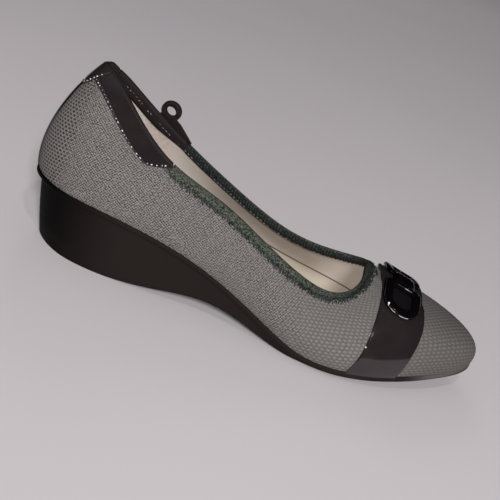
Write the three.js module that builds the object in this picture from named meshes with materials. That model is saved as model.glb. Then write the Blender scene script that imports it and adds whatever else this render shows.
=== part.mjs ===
// A women's wedge shoe with a mesh upper, a patent band with a double D ring and patent trims.
// Millimetres. +X points to the toe, +Y to the medial side, +Z up; the sole rests on z = 0.
import * as THREE from 'three';

// Driving sizes of the last and the sole
const LENGTH = 242;           // heel to toe, along the feather line where upper and sole meet
const BALL = 77;              // width of the feather line at the ball of the foot
const COLLAR = 62;            // height of the collar at the back, above the feather line
const LIFT = 29;              // how much higher the heel seat is than the ball
const SOLE = 4.4;             // thickness of the sole under the ball
const TOE_SPRING = 11.5;      // how far the toe of the sole rises off the floor
const ARCH_RISE = 7.5;        // height of the hollow under the waist
const UNDERCUT = 9;           // how far the heel leans forward from its rim to the floor

// Wall thicknesses, small steps and clearances
const WALL = 1.6;             // mesh and lining together
const PATENT = 0.8;           // patent sheet
const ELASTIC = 1.0;          // gathered elastic of the binding
const RIM = 2.2;              // height of the rolled edge above the cut edge of the upper
const HEM = 2.5;              // how far folded trims reach down inside
const SKIRT = 6.5;            // width of the binding on the outside
const RAND = 2.4;             // thickness of the projecting rand
const RAND_LIP = 0.8;         // how far the rand stands out from the feather line
const RAND_STEP = 1.1;        // step from the rand back to the side of the wedge
const SOLE_EDGE = 0.8;        // bevel between side and bottom
const SOCK = 2.2;             // thickness of the insole
const SOCK_PLAY = 0.5;        // clearance of the insole to the deck and the wall
const GAP = 0.3;              // clearance between neighbouring pieces

// Trims
const BAND_WIDTH = 24;        // patent band, along the shoe
const BACKSTAY_WIDTH = 8;     // patent strip down the back
const RING_REACH = 26.5;      // from the middle of the ornament to the end of a ring
const RING_DEPTH = 22;        // ring, along the shoe
const RING_BAR = 4.4;         // width of the ring's bars
const RING_THICK = 2.3;       // height of the ring's bars
const RING_BEND = 64;         // radius the ornament is bent to, across the vamp
const RING_SEAT = 0.9;        // play under the middle of the ornament
const LINK_WIDTH = 8;         // link between the two rings, across the shoe
const LINK_DEPTH = 11;        // link, along the shoe
const LINK_PROUD = 0.9;       // how far the link stands above the rings
const LOOP_WIDTH = 10.5;      // pull loop, outside, along the rim
const LOOP_HEIGHT = 9.6;      // pull loop, outside
const LOOP_BAR = 2.8;         // pull loop, thickness of its cord
const LOOP_SINK = 2.2;        // how far the loop reaches below the rim
const LOOP_PLAY = 1.0;        // clearance between the cord and the collar strip

// Where the floor line changes, as shares of the length
const HEEL_END = 0.175;
const BALL_START = 0.645;
const BALL_END = 0.695;
const HEEL_BLOCK = 0.21;

// The last, one row for each of 16 lines up its side, from the back round the lateral side to the
// toe and back along the medial side. along and top_along are shares of the length, aside, flare,
// tuck and top_aside shares of the ball width, lift a share of the lift, top, rise and drop shares
// of the collar height, and lean a share of the length.
const COLUMNS = ['along', 'aside', 'lift', 'top_along', 'top_aside', 'top', 'rise', 'flare', 'drop',
  'lean', 'tuck'];
const ROWS = {
  heel_back:            [0.004, 0.000, 1.000, 0.082, 0.000, 0.990, 0.34, 0.065, 0.22, 0.045, 0.000],
  heel_corner_lateral:  [0.060, -0.266, 0.993, 0.114, -0.136, 0.980, 0.29, 0.052, 0.24, 0.027, 0.013],
  heel_side_lateral:    [0.157, -0.383, 0.986, 0.192, -0.227, 0.758, 0.24, 0.039, 0.21, 0.012, 0.020],
  quarter_lateral:      [0.298, -0.390, 0.876, 0.289, -0.266, 0.571, 0.21, 0.039, 0.19, 0.012, 0.013],
  waist_lateral:        [0.442, -0.396, 0.600, 0.412, -0.279, 0.552, 0.21, 0.052, 0.19, 0.021, 0.016],
  fore_waist_lateral:   [0.576, -0.461, 0.207, 0.541, -0.318, 0.535, 0.21, 0.065, 0.19, 0.033, 0.025],
  ball_lateral:         [0.686, -0.513, 0.000, 0.659, -0.318, 0.497, 0.19, 0.065, 0.16, 0.058, 0.032],
  toe_corner_lateral:   [0.847, -0.396, 0.046, 0.713, -0.169, 0.495, 0.19, 0.055, 0.15, 0.112, 0.050],
  toe_tip:              [1.000, 0.078, -0.055, 0.717, 0.000, 0.479, 0.29, 0.061, 0.17, 0.198, 0.055],
  toe_corner_medial:    [0.884, 0.416, 0.012, 0.711, 0.156, 0.545, 0.19, 0.055, 0.16, 0.112, 0.050],
  ball_medial:          [0.727, 0.494, 0.002, 0.649, 0.266, 0.552, 0.19, 0.065, 0.16, 0.058, 0.032],
  fore_waist_medial:    [0.591, 0.409, 0.207, 0.537, 0.253, 0.492, 0.21, 0.065, 0.18, 0.033, 0.025],
  waist_medial:         [0.446, 0.344, 0.593, 0.399, 0.240, 0.500, 0.21, 0.052, 0.18, 0.021, 0.016],
  quarter_medial:       [0.298, 0.344, 0.876, 0.281, 0.234, 0.574, 0.21, 0.039, 0.19, 0.012, 0.013],
  heel_side_medial:     [0.157, 0.351, 0.986, 0.178, 0.225, 0.735, 0.24, 0.039, 0.21, 0.012, 0.020],
  heel_corner_medial:   [0.056, 0.260, 0.993, 0.105, 0.149, 0.924, 0.29, 0.052, 0.24, 0.027, 0.013],
};
const TOE_LINE = Object.keys(ROWS).indexOf('toe_tip');
const LINES = Object.keys(ROWS).length;

// Lower edge of a collar strip: [line, height], the height a share of the section from sole to rim
const STRIP_EDGE = [
  [0.50, 0.820], [1.00, 0.795], [1.49, 0.760], [1.89, 0.725], [2.20, 0.700], [2.98, 0.700],
];
const TAB_EDGE = 0.755;       // lower edge of the heel tab, a share of the section
const TAB_SEAM = [0.36, 0.90];      // lines where the tab's side seam meets its lower edge and the rim
const STRIP_END = [2.46, 2.98];     // lines where a collar strip ends, at its lower edge and the rim
const STRIP_ROUND = 0.7;            // power that rounds the strip's end
const BAND_REAR = 0.759;            // rear edge of the band on the crest, a share of the length
const BAND_SWAY = 0.010;            // how far its edges sway back at the sole, a share of the length
const BAND_BOW = 0.011;             // how far they bow forward half way up, a share of the length
const LOOP_LINE = 13.6;             // line of the last where the pull loop stands
const SEAM_PLAY = 0.01;             // half the clearance at a seam, in lines
const ORNAMENT_ASIDE = 0.03;        // middle of the ornament off the middle line, a share of the ball

const STEPS = 6;              // facets between two lines of the last

const lerp = THREE.MathUtils.lerp;
const clamp = THREE.MathUtils.clamp;
const mix = (a, b, t) => new THREE.Vector3().lerpVectors(a, b, t);
const range = (count) => Array.from({ length: count }, (_, i) => i);
const wrap = (i, count) => ((i % count) + count) % count;

// Height of the underside of the sole above the floor
function under(x) {
  const waist = clamp((x / LENGTH - HEEL_END) / (BALL_START - HEEL_END), 0, 1);
  return ARCH_RISE * Math.sin(Math.PI * waist ** 1.3) ** 2 + toeRise(x);
}

function toeRise(x) {
  return TOE_SPRING * Math.max(0, (x / LENGTH - BALL_END) / (1 - BALL_END)) ** 2;
}

// The rows in millimetres
const last = Object.values(ROWS).map((row) => {
  const share = Object.fromEntries(COLUMNS.map((name, i) => [name, row[i]]));
  const x = share.along * LENGTH;
  const z = SOLE + share.lift * LIFT + toeRise(x);
  return {
    x,
    y: share.aside * BALL,
    z,
    topX: share.top_along * LENGTH,
    topY: share.top_aside * BALL,
    topZ: z + share.top * COLLAR,
    rise: share.rise * COLLAR,
    flare: share.flare * BALL,
    drop: share.drop * COLLAR,
    lean: share.lean * LENGTH,
    tuck: share.tuck * BALL,
  };
});

// Slopes of the smooth closed curve through one size of every row
function slopesOf(values) {
  const slopes = values.map(() => 0);
  for (let sweep = 0; sweep < 60; sweep += 1) {
    for (let i = 0; i < LINES; i += 1) {
      const before = wrap(i - 1, LINES);
      const after = wrap(i + 1, LINES);
      slopes[i] = (3 * (values[after] - values[before]) - slopes[before] - slopes[after]) / 4;
    }
  }
  return slopes;
}

const curves = Object.fromEntries(Object.keys(last[0]).map((name) => {
  const values = last.map((row) => row[name]);
  return [name, { values, slopes: slopesOf(values) }];
}));

// One size of the last at line u, which may fall between two rows
function size(name, u) {
  const { values, slopes } = curves[name];
  const i = wrap(Math.floor(u), LINES);
  const j = wrap(i + 1, LINES);
  const t = u - Math.floor(u);
  return values[i] * (2 * t ** 3 - 3 * t ** 2 + 1) + slopes[i] * (t ** 3 - 2 * t ** 2 + t)
    + values[j] * (3 * t ** 2 - 2 * t ** 3) + slopes[j] * (t ** 3 - t ** 2);
}

function feather(u) {
  return new THREE.Vector3(size('x', u), size('y', u), size('z', u));
}

// Level direction that points out of the shoe, square to the feather line
function outward(u) {
  const ahead = feather(u + 0.01).sub(feather(u - 0.01));
  return new THREE.Vector3(ahead.y, -ahead.x, 0).normalize();
}

// Point of the last's surface on line u; v runs from 0 at the feather line to 1 at the rim
function skin(u, v) {
  const out = outward(u);
  const foot = feather(u);
  const rim = new THREE.Vector3(size('topX', u), size('topY', u), size('topZ', u));
  const low = foot.clone().addScaledVector(out, size('flare', u));
  low.z += size('rise', u);
  const high = rim.clone().addScaledVector(out, size('lean', u));
  high.z -= size('drop', u);
  return new THREE.CubicBezierCurve3(foot, low, high, rim).getPoint(v);
}

// Direction from the feather line to the rim along the surface, and the outward normal
function climb(u, v) {
  const below = clamp(v, 0.01, 0.99) - 0.01;
  return skin(u, below + 0.02).sub(skin(u, below));
}

function normal(u, v) {
  const round = skin(u + 0.01, v).sub(skin(u - 0.01, v));
  return round.cross(climb(u, v)).normalize();
}

function away(u, v, distance) {
  return skin(u, v).addScaledVector(normal(u, v), distance);
}

// Share of line u that lies the given distance below the rim
function shareBelow(u, distance) {
  return 1 - distance / (3 * Math.hypot(size('drop', u), size('lean', u)));
}

// A closed solid from quads and triangles of points; doubled points are joined, empty faces dropped
function solid(faces) {
  const index = new Map();
  const points = [];
  const find = (p) => {
    const key = [p.x, p.y, p.z].map((c) => Math.round(c * 1e4)).join();
    if (!index.has(key)) {
      index.set(key, points.length);
      points.push(p);
    }
    return index.get(key);
  };
  const triangles = [];
  let volume = 0;
  for (const face of faces) {
    for (let k = 2; k < face.length; k += 1) {
      const [a, b, c] = [face[0], face[k - 1], face[k]].map(find);
      if (a !== b && b !== c && c !== a) {
        triangles.push([a, b, c]);
        volume += points[a].dot(points[b].clone().cross(points[c]));
      }
    }
  }
  const geometry = new THREE.BufferGeometry();
  const turned = volume < 0 ? triangles.map((t) => t.toReversed()) : triangles;
  geometry.setIndex(turned.flat());
  const flat = points.flatMap((p) => [p.x, p.y, p.z]);
  geometry.setAttribute('position', new THREE.Float32BufferAttribute(flat, 3));
  return geometry;
}

// Faces between two rows of points; the last point joins the first when the rows are closed
function between(rowA, rowB, closed) {
  const count = rowA.length;
  return range(closed ? count : count - 1).map((j) => {
    const k = (j + 1) % count;
    return [rowA[j], rowB[j], rowB[k], rowA[k]];
  });
}

// A bent sheet from matching grids of outer and inner points, grid[i][j]; closed joins last to first
function sheet(outer, inner, closed) {
  const rings = outer.map((row, i) => [...row, ...inner[i].toReversed()]);
  const faces = rings.slice(1).flatMap((ring, i) => between(rings[i], ring, true));
  if (closed) {
    faces.push(...between(rings.at(-1), rings[0], true));
  } else {
    faces.push(...between(outer[0], inner[0], false).map((f) => f.toReversed()));
    faces.push(...between(outer.at(-1), inner.at(-1), false));
  }
  return solid(faces);
}

// A closed bar from a ring of closed sections
function hoop(sections) {
  return solid(sections.flatMap((section, i) => between(section, sections.at(i - 1), true)));
}

// Lid over a closed outline: straight strips from the lateral to the medial side
const LID_STEPS = 3;
function lid(outline, settle) {
  const half = outline.length / 2;
  const strips = range(half + 1).map((k) => {
    const a = outline[k];
    const b = outline[(outline.length - k) % outline.length];
    return range(LID_STEPS + 1).map((j) => {
      const onEdge = j === 0 || j === LID_STEPS;
      const p = mix(a, b, j / LID_STEPS);
      return onEdge ? p : settle(p);
    });
  });
  return strips.slice(1).flatMap((strip, k) => between(strips[k], strip, false));
}

// A block from closed outlines, first to last, with a lid on both ends
function block(outlines, settleFirst, settleLast) {
  return solid([
    ...outlines.slice(1).flatMap((outline, i) => between(outlines[i], outline, true)),
    ...lid(outlines[0], settleFirst),
    ...lid(outlines.at(-1), settleLast).map((f) => f.toReversed()),
  ]);
}

const around = range(LINES * STEPS).map((i) => i / STEPS);
const keep = (p) => p;

// Upper: a hollow shell, open at the rim and underneath
function upper() {
  const rows = 9;
  const grid = (distance) => around.map((u) => range(rows + 1).map((j) => {
    return away(u, (j / rows) * shareBelow(u, RIM), distance);
  }));
  return sheet(grid(0), grid(-WALL), true);
}

// Side of the sole at line u, from the top of the rand down to the floor
function soleSide(u) {
  const out = outward(u);
  const foot = feather(u);
  const back = clamp(1 - foot.x / (HEEL_BLOCK * LENGTH), 0, 1);
  const at = (inset, shift, z) => {
    const p = foot.clone().addScaledVector(out, -inset);
    p.x += shift * back;
    p.z = z;
    return p;
  };
  const floor = at(size('tuck', u), UNDERCUT, 0);
  floor.z = under(floor.x);
  const top = foot.z - GAP;
  const ledge = top - Math.min(RAND, 0.55 * (top - floor.z));
  const wedge = at(RAND_STEP - RAND_LIP, 0.25 * UNDERCUT, ledge);
  const edge = floor.clone();
  edge.z += SOLE_EDGE;
  const bottom = at(size('tuck', u) + SOLE_EDGE, UNDERCUT, 0);
  bottom.z = under(bottom.x);
  return [
    at(-RAND_LIP, 0, top),
    at(-RAND_LIP, 0, ledge),
    wedge,
    mix(wedge, edge, 0.5),
    edge,
    bottom,
  ];
}

function wedgeSole() {
  const sides = around.map(soleSide);
  const outlines = range(sides[0].length).map((level) => sides.map((side) => side[level]));
  return block(outlines, keep, (p) => p.setZ(under(p.x)));
}

// Insole: lies on the deck inside the wall of the upper
function insole() {
  const edge = (height) => around.map((u) => {
    const p = feather(u).addScaledVector(outward(u), -(WALL + SOCK_PLAY));
    p.z += height;
    return p;
  });
  return block([edge(SOCK_PLAY - GAP + SOCK), edge(SOCK_PLAY - GAP)], keep, keep);
}

// A trim folded over the rim. place(s, t) gives the line and the height of the lower edge there; s
// runs along the rim and t from 0 at the lower edge to 1 at the cut edge of the upper
function folded(count, thickness, place) {
  const climbSteps = 4;
  const outer = [];
  const inner = [];
  for (const i of range(count + 1)) {
    const rowOuter = [];
    const rowInner = [];
    for (const j of range(climbSteps + 1)) {
      const [u, edge] = place(i / count, j / climbSteps);
      const v = lerp(edge, shareBelow(u, RIM), j / climbSteps);
      rowOuter.push(away(u, v, GAP + thickness));
      rowInner.push(away(u, v, GAP));
    }
    const [u] = place(i / count, 1);
    const cut = shareBelow(u, RIM);
    const rim = skin(u, cut);
    const over = climb(u, cut).normalize();
    const out = normal(u, cut);
    const at = (side, height) => rim.clone().addScaledVector(out, side).addScaledVector(over, height);
    const inside = -(WALL + GAP);
    rowOuter.push(
      at(0.8 * (GAP + thickness), 0.7 * RIM),
      at(-WALL / 2, RIM),
      at(inside - 0.8 * thickness, 0.7 * RIM),
      at(inside - thickness, 0),
      at(inside - thickness, -HEM),
    );
    rowInner.push(
      at(GAP, GAP),
      at(-WALL / 2, GAP),
      at(inside, GAP),
      at(inside, 0),
      at(inside, -HEM),
    );
    outer.push(rowOuter);
    inner.push(rowInner);
  }
  return sheet(outer, inner, false);
}

// Height of the strip's lower edge on line u
function stripEdge(u) {
  const k = clamp(STRIP_EDGE.findIndex(([line]) => line > u), 1, STRIP_EDGE.length - 1);
  const [lineA, heightA] = STRIP_EDGE[k - 1];
  const [lineB, heightB] = STRIP_EDGE[k];
  return lerp(heightA, heightB, clamp((u - lineA) / (lineB - lineA), 0, 1));
}

// Seams of the heel tab and of a strip's end, as the line they cross on the way t to the rim
const tabSeam = (t) => lerp(...TAB_SEAM, t);
const stripEnd = (t) => lerp(...STRIP_END, t ** STRIP_ROUND);

// How far up a seam another height lies, when the seam starts at the height low
const wayUp = (u, low, height) => (height - low) / (shareBelow(u, RIM) - low);

function heelTab() {
  return folded(2 * STEPS, PATENT, (s, t) => [lerp(-1, 1, s) * (tabSeam(t) - SEAM_PLAY), TAB_EDGE]);
}

// side is 1 for lateral and -1 for medial
const onSide = (side, u) => (side > 0 ? u : LINES - u);

function collarStrip(side) {
  const start = wayUp(TAB_SEAM[1], TAB_EDGE, STRIP_EDGE[0][1]);
  return folded(3 * STEPS, PATENT, (s, t) => {
    const u = lerp(tabSeam(lerp(start, 1, t)) + SEAM_PLAY, stripEnd(t) - SEAM_PLAY, s);
    return [onSide(side, u), stripEdge(u)];
  });
}

function toplineBinding() {
  const end = STRIP_END[1];
  const start = wayUp(end, STRIP_EDGE.at(-1)[1], shareBelow(end, SKIRT));
  return folded(7 * STEPS, ELASTIC, (s, t) => {
    const u = stripEnd(lerp(start, 1, t)) + SEAM_PLAY;
    const line = lerp(u, LINES - u, s);
    return [line, shareBelow(line, SKIRT)];
  });
}

// A flat trim on the skin, its place on the last from place(s, t)
function patch(count, rows, place) {
  const grid = (distance) => range(count + 1).map((i) => range(rows + 1).map((j) => {
    const [u, v] = place(i / count, j / rows);
    return away(u, v, distance);
  }));
  return sheet(grid(GAP + PATENT), grid(GAP), false);
}

function backstay() {
  const top = TAB_EDGE - 0.01;
  const reach = BACKSTAY_WIDTH / 2 / skin(1, 0.5).distanceTo(skin(0, 0.5));
  return patch(4, 12, (s, t) => [lerp(-1, 1, s) * reach, lerp(0.02, top, t)]);
}

// Line that passes x at height v, on the lateral side or, mirrored in number, the medial one
function lineAt(x, v, side) {
  let near = TOE_LINE - 5 * side;
  let far = TOE_LINE;
  for (let step = 0; step < 30; step += 1) {
    const middle = (near + far) / 2;
    if (skin(middle, v).x < x) {
      near = middle;
    } else {
      far = middle;
    }
  }
  return (near + far) / 2;
}

// Height on line u where the surface passes x, over the toe
function shareAt(x, u) {
  let low = 0;
  let high = 1;
  for (let step = 0; step < 30; step += 1) {
    const middle = (low + high) / 2;
    if (skin(u, middle).x > x) {
      low = middle;
    } else {
      high = middle;
    }
  }
  return (low + high) / 2;
}

// Place where the plane across the shoe at x meets the vamp, on the way t from the lateral to the
// medial feather line
function across(x, t) {
  const side = t < 0.5 ? 1 : -1;
  const turn = Math.abs(2 * t - 1);
  const corner = 0.5;
  const shoulder = lineAt(x, corner, side);
  if (turn > 0.5) {
    const v = lerp(corner, 0.02, 2 * turn - 1);
    return [lineAt(x, v, side), v];
  }
  const u = lerp(TOE_LINE, shoulder, 2 * turn);
  return [u, shareAt(x, u)];
}

function vampBand() {
  return patch(40, 4, (s, t) => {
    const down = Math.abs(2 * s - 1);
    const rear = BAND_REAR + BAND_BOW * Math.sin(Math.PI * down) - BAND_SWAY * down ** 2;
    return across(LENGTH * rear + BAND_WIDTH * t, s);
  });
}

// The ornament stands on the crest of the band: along runs across the shoe from its middle, depth
// towards the toe and height off the band; the whole is bent to a radius
const ornamentX = LENGTH * BAND_REAR + BAND_WIDTH / 2;
const crest = shareAt(ornamentX, TOE_LINE);
const toToe = climb(TOE_LINE, crest).negate().setY(0).normalize();
const ornamentUp = new THREE.Vector3(-toToe.z, 0, toToe.x);
const ornamentBase = away(TOE_LINE, crest, GAP + PATENT + GAP + RING_SEAT)
  .setY(ORNAMENT_ASIDE * BALL);

function onOrnament(along, depth, height) {
  const angle = along / RING_BEND;
  const radius = RING_BEND + height;
  const p = ornamentBase.clone().addScaledVector(toToe, depth);
  p.y += radius * Math.sin(angle);
  return p.addScaledVector(ornamentUp, radius * Math.cos(angle) - RING_BEND);
}

// Centre line of a D ring: a straight bar by the link, two long bars and a rounded end
function ringCentre(count) {
  const inner = LINK_WIDTH / 2 + GAP + RING_BAR / 2;
  const outer = RING_REACH - RING_BAR * 0.6;
  const half = (RING_DEPTH - RING_BAR) / 2;
  const shape = new THREE.Shape();
  const bend = 0.45 * (outer - inner);
  const corner = RING_BAR * 0.4;
  shape.moveTo(inner, -half + corner);
  shape.lineTo(inner, half - corner);
  shape.quadraticCurveTo(inner, half, inner + corner, half);
  shape.lineTo(outer - bend, half);
  shape.bezierCurveTo(outer - 0.3 * bend, half, outer, 0.55 * half, outer, 0);
  shape.bezierCurveTo(outer, -0.55 * half, outer - 0.3 * bend, -half, outer - bend, -half);
  shape.lineTo(inner + corner, -half);
  shape.quadraticCurveTo(inner, -half, inner, -half + corner);
  return shape.getSpacedPoints(count).slice(0, count);
}

function ornamentRing(side) {
  const centre = ringCentre(32);
  return hoop(centre.map((p, i) => {
    const before = centre.at(i - 1);
    const after = centre[(i + 1) % centre.length];
    const out = new THREE.Vector2(after.y - before.y, before.x - after.x).normalize();
    const wide = RING_BAR * lerp(1, 1.2, clamp((p.x - 0.7 * RING_REACH) / (0.3 * RING_REACH), 0, 1));
    const profile = [[-0.5, 0], [0.5, 0], [0.5, 0.45], [0.27, 1], [-0.27, 1], [-0.5, 0.45]];
    return profile.map(([w, h]) => onOrnament(
      -side * (p.x + out.x * w * wide),
      p.y + out.y * w * wide,
      h * RING_THICK,
    ));
  }));
}

// Link: a barrel between the inner bars with a cap that laps over them
function ornamentLink() {
  const half = LINK_WIDTH / 2;
  const cap = half + 0.35 * RING_BAR;
  const above = RING_THICK + GAP;
  const top = RING_THICK + GAP + LINK_PROUD;
  const outline = [
    [-half, 0], [half, 0], [half, above], [cap, above], [cap, above + 0.3 * LINK_PROUD],
    [half, top], [-half, top], [-cap, above + 0.3 * LINK_PROUD], [-cap, above], [-half, above],
  ];
  const shape = new THREE.Shape(outline.map(([x, y]) => new THREE.Vector2(x, y)));
  const { shape: ring } = shape.extractPoints(1);
  const caps = THREE.ShapeUtils.triangulateShape(ring, []);
  const rows = [-0.5, -0.42, 0.42, 0.5].map((d) => ring.map((p) => {
    const slim = Math.abs(d) > 0.45 ? 0.9 : 1;
    return onOrnament(p.x, d * LINK_DEPTH, p.y * slim);
  }));
  const faces = rows.slice(1).flatMap((row, i) => between(rows[i], row, true));
  faces.push(...caps.map((t) => t.map((k) => rows[0][k])));
  faces.push(...caps.map((t) => t.toReversed().map((k) => rows.at(-1)[k])));
  return solid(faces);
}

// Pull loop: an oval ring of cord that stands at the medial rim, outside the collar strip
function pullLoop() {
  const count = 24;
  const ahead = skin(LOOP_LINE - 0.05, 1).sub(skin(LOOP_LINE + 0.05, 1)).normalize();
  const out = new THREE.Vector3(0, 0, 1).cross(ahead).normalize();
  const rise = new THREE.Vector3().crossVectors(ahead, out);
  const centre = skin(LOOP_LINE, 1)
    .addScaledVector(out, GAP + PATENT + LOOP_PLAY + LOOP_BAR / 2)
    .addScaledVector(rise, LOOP_HEIGHT / 2 - LOOP_SINK);
  return hoop(range(count).map((i) => {
    const angle = (2 * Math.PI * (i + 0.5)) / count;
    return range(6).map((k) => {
      const turn = (Math.PI * k) / 3;
      const inset = (LOOP_BAR / 2) * (1 - Math.cos(turn));
      return centre.clone()
        .addScaledVector(ahead, (LOOP_WIDTH / 2 - inset) * Math.cos(angle))
        .addScaledVector(rise, (LOOP_HEIGHT / 2 - inset) * Math.sin(angle))
        .addScaledVector(out, (LOOP_BAR / 2) * Math.sin(turn));
    });
  }));
}

function material(color, roughness) {
  return new THREE.MeshStandardMaterial({ color, roughness, metalness: 0 });
}

const mesh = material(0x8e8885, 0.85);
const patent = material(0x15110f, 0.15);
const moulded = material(0x100d0e, 0.1);

const pieces = {
  upper: [upper(), mesh],
  wedge_sole: [wedgeSole(), material(0x17130f, 0.6)],
  insole: [insole(), material(0xcbbca8, 0.8)],
  topline_binding: [toplineBinding(), material(0x3a3f3b, 0.8)],
  heel_tab: [heelTab(), patent],
  collar_strip_lateral: [collarStrip(1), patent],
  collar_strip_medial: [collarStrip(-1), patent],
  backstay: [backstay(), patent],
  vamp_band: [vampBand(), patent],
  ornament_ring_lateral: [ornamentRing(1), moulded],
  ornament_ring_medial: [ornamentRing(-1), moulded],
  ornament_link: [ornamentLink(), moulded],
  pull_loop: [pullLoop(), material(0x1d1718, 0.5)],
};

const shoe = new THREE.Group();
shoe.name = 'wedge_shoe';
for (const [name, [geometry, look]] of Object.entries(pieces)) {
  geometry.computeVertexNormals();
  const piece = new THREE.Mesh(geometry, look);
  piece.name = name;
  shoe.add(piece);
}

// The frame's origin lies on the floor, in the middle of the shoe's outer box
const middle = new THREE.Box3().setFromObject(shoe).getCenter(new THREE.Vector3());
for (const piece of shoe.children) {
  piece.geometry.translate(-middle.x, -middle.y, 0);
}

export default shoe;
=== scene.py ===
# %% [markdown]
# # A wedge shoe in knitted mesh and patent
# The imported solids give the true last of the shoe. This lesson dresses them: mesh, patent, elastic,
# rubber and sock are each rebuilt on the same last with finer meshes, seams and node materials.

# %% The fixed frame
import math

import bpy
import numpy as np
from mathutils import Matrix, Vector


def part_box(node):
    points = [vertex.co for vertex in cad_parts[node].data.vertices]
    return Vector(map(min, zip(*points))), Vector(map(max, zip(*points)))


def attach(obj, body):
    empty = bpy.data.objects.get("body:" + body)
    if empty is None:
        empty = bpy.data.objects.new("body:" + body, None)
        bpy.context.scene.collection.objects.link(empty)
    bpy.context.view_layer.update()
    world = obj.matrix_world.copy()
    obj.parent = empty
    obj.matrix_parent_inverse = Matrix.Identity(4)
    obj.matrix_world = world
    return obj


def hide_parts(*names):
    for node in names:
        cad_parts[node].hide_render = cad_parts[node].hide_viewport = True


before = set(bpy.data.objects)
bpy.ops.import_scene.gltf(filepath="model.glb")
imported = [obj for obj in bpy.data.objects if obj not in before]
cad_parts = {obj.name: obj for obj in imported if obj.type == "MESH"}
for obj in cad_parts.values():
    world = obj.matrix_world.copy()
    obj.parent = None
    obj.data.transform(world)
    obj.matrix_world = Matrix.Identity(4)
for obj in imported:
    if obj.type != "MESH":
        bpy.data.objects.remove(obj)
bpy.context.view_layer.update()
MM = 0.001

# %% [markdown]
# ## The last
# A shoe is built round a last, and every piece of this one lies on it. Its surface could be sculpted,
# but a short table of sections keeps heel, waist, ball and toe in proportion: 16 lines run up the
# side, each a Bezier from the feather line, where upper and sole meet, to the rim. The sizes are
# the same as the solids', in millimetres and in shares of them.

# %% Sizes of the last
LENGTH, BALL, COLLAR, LIFT, SOLE = 242.0, 77.0, 62.0, 29.0, 4.4
TOE_SPRING, ARCH_RISE, ARCH_SKEW, UNDERCUT = 11.5, 7.5, 1.3, 9.0
WALL, RIM, SKIRT, GAP = 1.6, 2.2, 6.5, 0.3
RAND, RAND_LIP, RAND_STEP = 2.4, 0.8, 1.1
HEEL_END, BALL_START, BALL_END, HEEL_BLOCK = 0.175, 0.645, 0.695, 0.21
COLUMNS = ("along", "aside", "lift", "top_along", "top_aside", "top", "rise", "flare", "drop",
           "lean", "tuck")
ROWS = {
    "heel_back": (0.004, 0.000, 1.000, 0.082, 0.000, 0.990, 0.34, 0.065, 0.22, 0.045, 0.000),
    "heel_corner_lateral": (0.060, -0.266, 0.993, 0.114, -0.136, 0.980, 0.29, 0.052, 0.24, 0.027, 0.013),
    "heel_side_lateral": (0.157, -0.383, 0.986, 0.192, -0.227, 0.758, 0.24, 0.039, 0.21, 0.012, 0.020),
    "quarter_lateral": (0.298, -0.390, 0.876, 0.289, -0.266, 0.571, 0.21, 0.039, 0.19, 0.012, 0.013),
    "waist_lateral": (0.442, -0.396, 0.600, 0.412, -0.279, 0.552, 0.21, 0.052, 0.19, 0.021, 0.016),
    "fore_waist_lateral": (0.576, -0.461, 0.207, 0.541, -0.318, 0.535, 0.21, 0.065, 0.19, 0.033, 0.025),
    "ball_lateral": (0.686, -0.513, 0.000, 0.659, -0.318, 0.497, 0.19, 0.065, 0.16, 0.058, 0.032),
    "toe_corner_lateral": (0.847, -0.396, 0.046, 0.713, -0.169, 0.495, 0.19, 0.055, 0.15, 0.112, 0.050),
    "toe_tip": (1.000, 0.078, -0.055, 0.717, 0.000, 0.479, 0.29, 0.061, 0.17, 0.198, 0.055),
    "toe_corner_medial": (0.884, 0.416, 0.012, 0.711, 0.156, 0.545, 0.19, 0.055, 0.16, 0.112, 0.050),
    "ball_medial": (0.727, 0.494, 0.002, 0.649, 0.266, 0.552, 0.19, 0.065, 0.16, 0.058, 0.032),
    "fore_waist_medial": (0.591, 0.409, 0.207, 0.537, 0.253, 0.492, 0.21, 0.065, 0.18, 0.033, 0.025),
    "waist_medial": (0.446, 0.344, 0.593, 0.399, 0.240, 0.500, 0.21, 0.052, 0.18, 0.021, 0.016),
    "quarter_medial": (0.298, 0.344, 0.876, 0.281, 0.234, 0.574, 0.21, 0.039, 0.19, 0.012, 0.013),
    "heel_side_medial": (0.157, 0.351, 0.986, 0.178, 0.225, 0.735, 0.24, 0.039, 0.21, 0.012, 0.020),
    "heel_corner_medial": (0.056, 0.260, 0.993, 0.105, 0.149, 0.924, 0.29, 0.052, 0.24, 0.027, 0.013),
}
LINES = len(ROWS)
TOE_LINE = list(ROWS).index("toe_tip")


def toe_rise(x):
    return TOE_SPRING * np.clip((x / LENGTH - BALL_END) / (1 - BALL_END), 0, None) ** 2


def under(x):
    """Height of the underside of the sole above the floor."""
    waist = np.clip((x / LENGTH - HEEL_END) / (BALL_START - HEEL_END), 0, 1)
    return ARCH_RISE * np.sin(np.pi * waist ** ARCH_SKEW) ** 2 + toe_rise(x)


share = dict(zip(COLUMNS, np.array(list(ROWS.values())).T))
foot_z = SOLE + share["lift"] * LIFT + toe_rise(share["along"] * LENGTH)
last = {
    "x": share["along"] * LENGTH,
    "y": share["aside"] * BALL,
    "z": foot_z,
    "top_x": share["top_along"] * LENGTH,
    "top_y": share["top_aside"] * BALL,
    "top_z": foot_z + share["top"] * COLLAR,
    "rise": share["rise"] * COLLAR,
    "flare": share["flare"] * BALL,
    "drop": share["drop"] * COLLAR,
    "lean": share["lean"] * LENGTH,
    "tuck": share["tuck"] * BALL,
}

# %% [markdown]
# A closed smooth curve runs through each size, so the sections blend without flats. Its slopes are
# found once, from the rule that neighbouring arcs share their bend. After that `skin(u, v)` gives
# any point of the last: u counts the lines, v goes from 0 at the sole to 1 at the rim.

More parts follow.
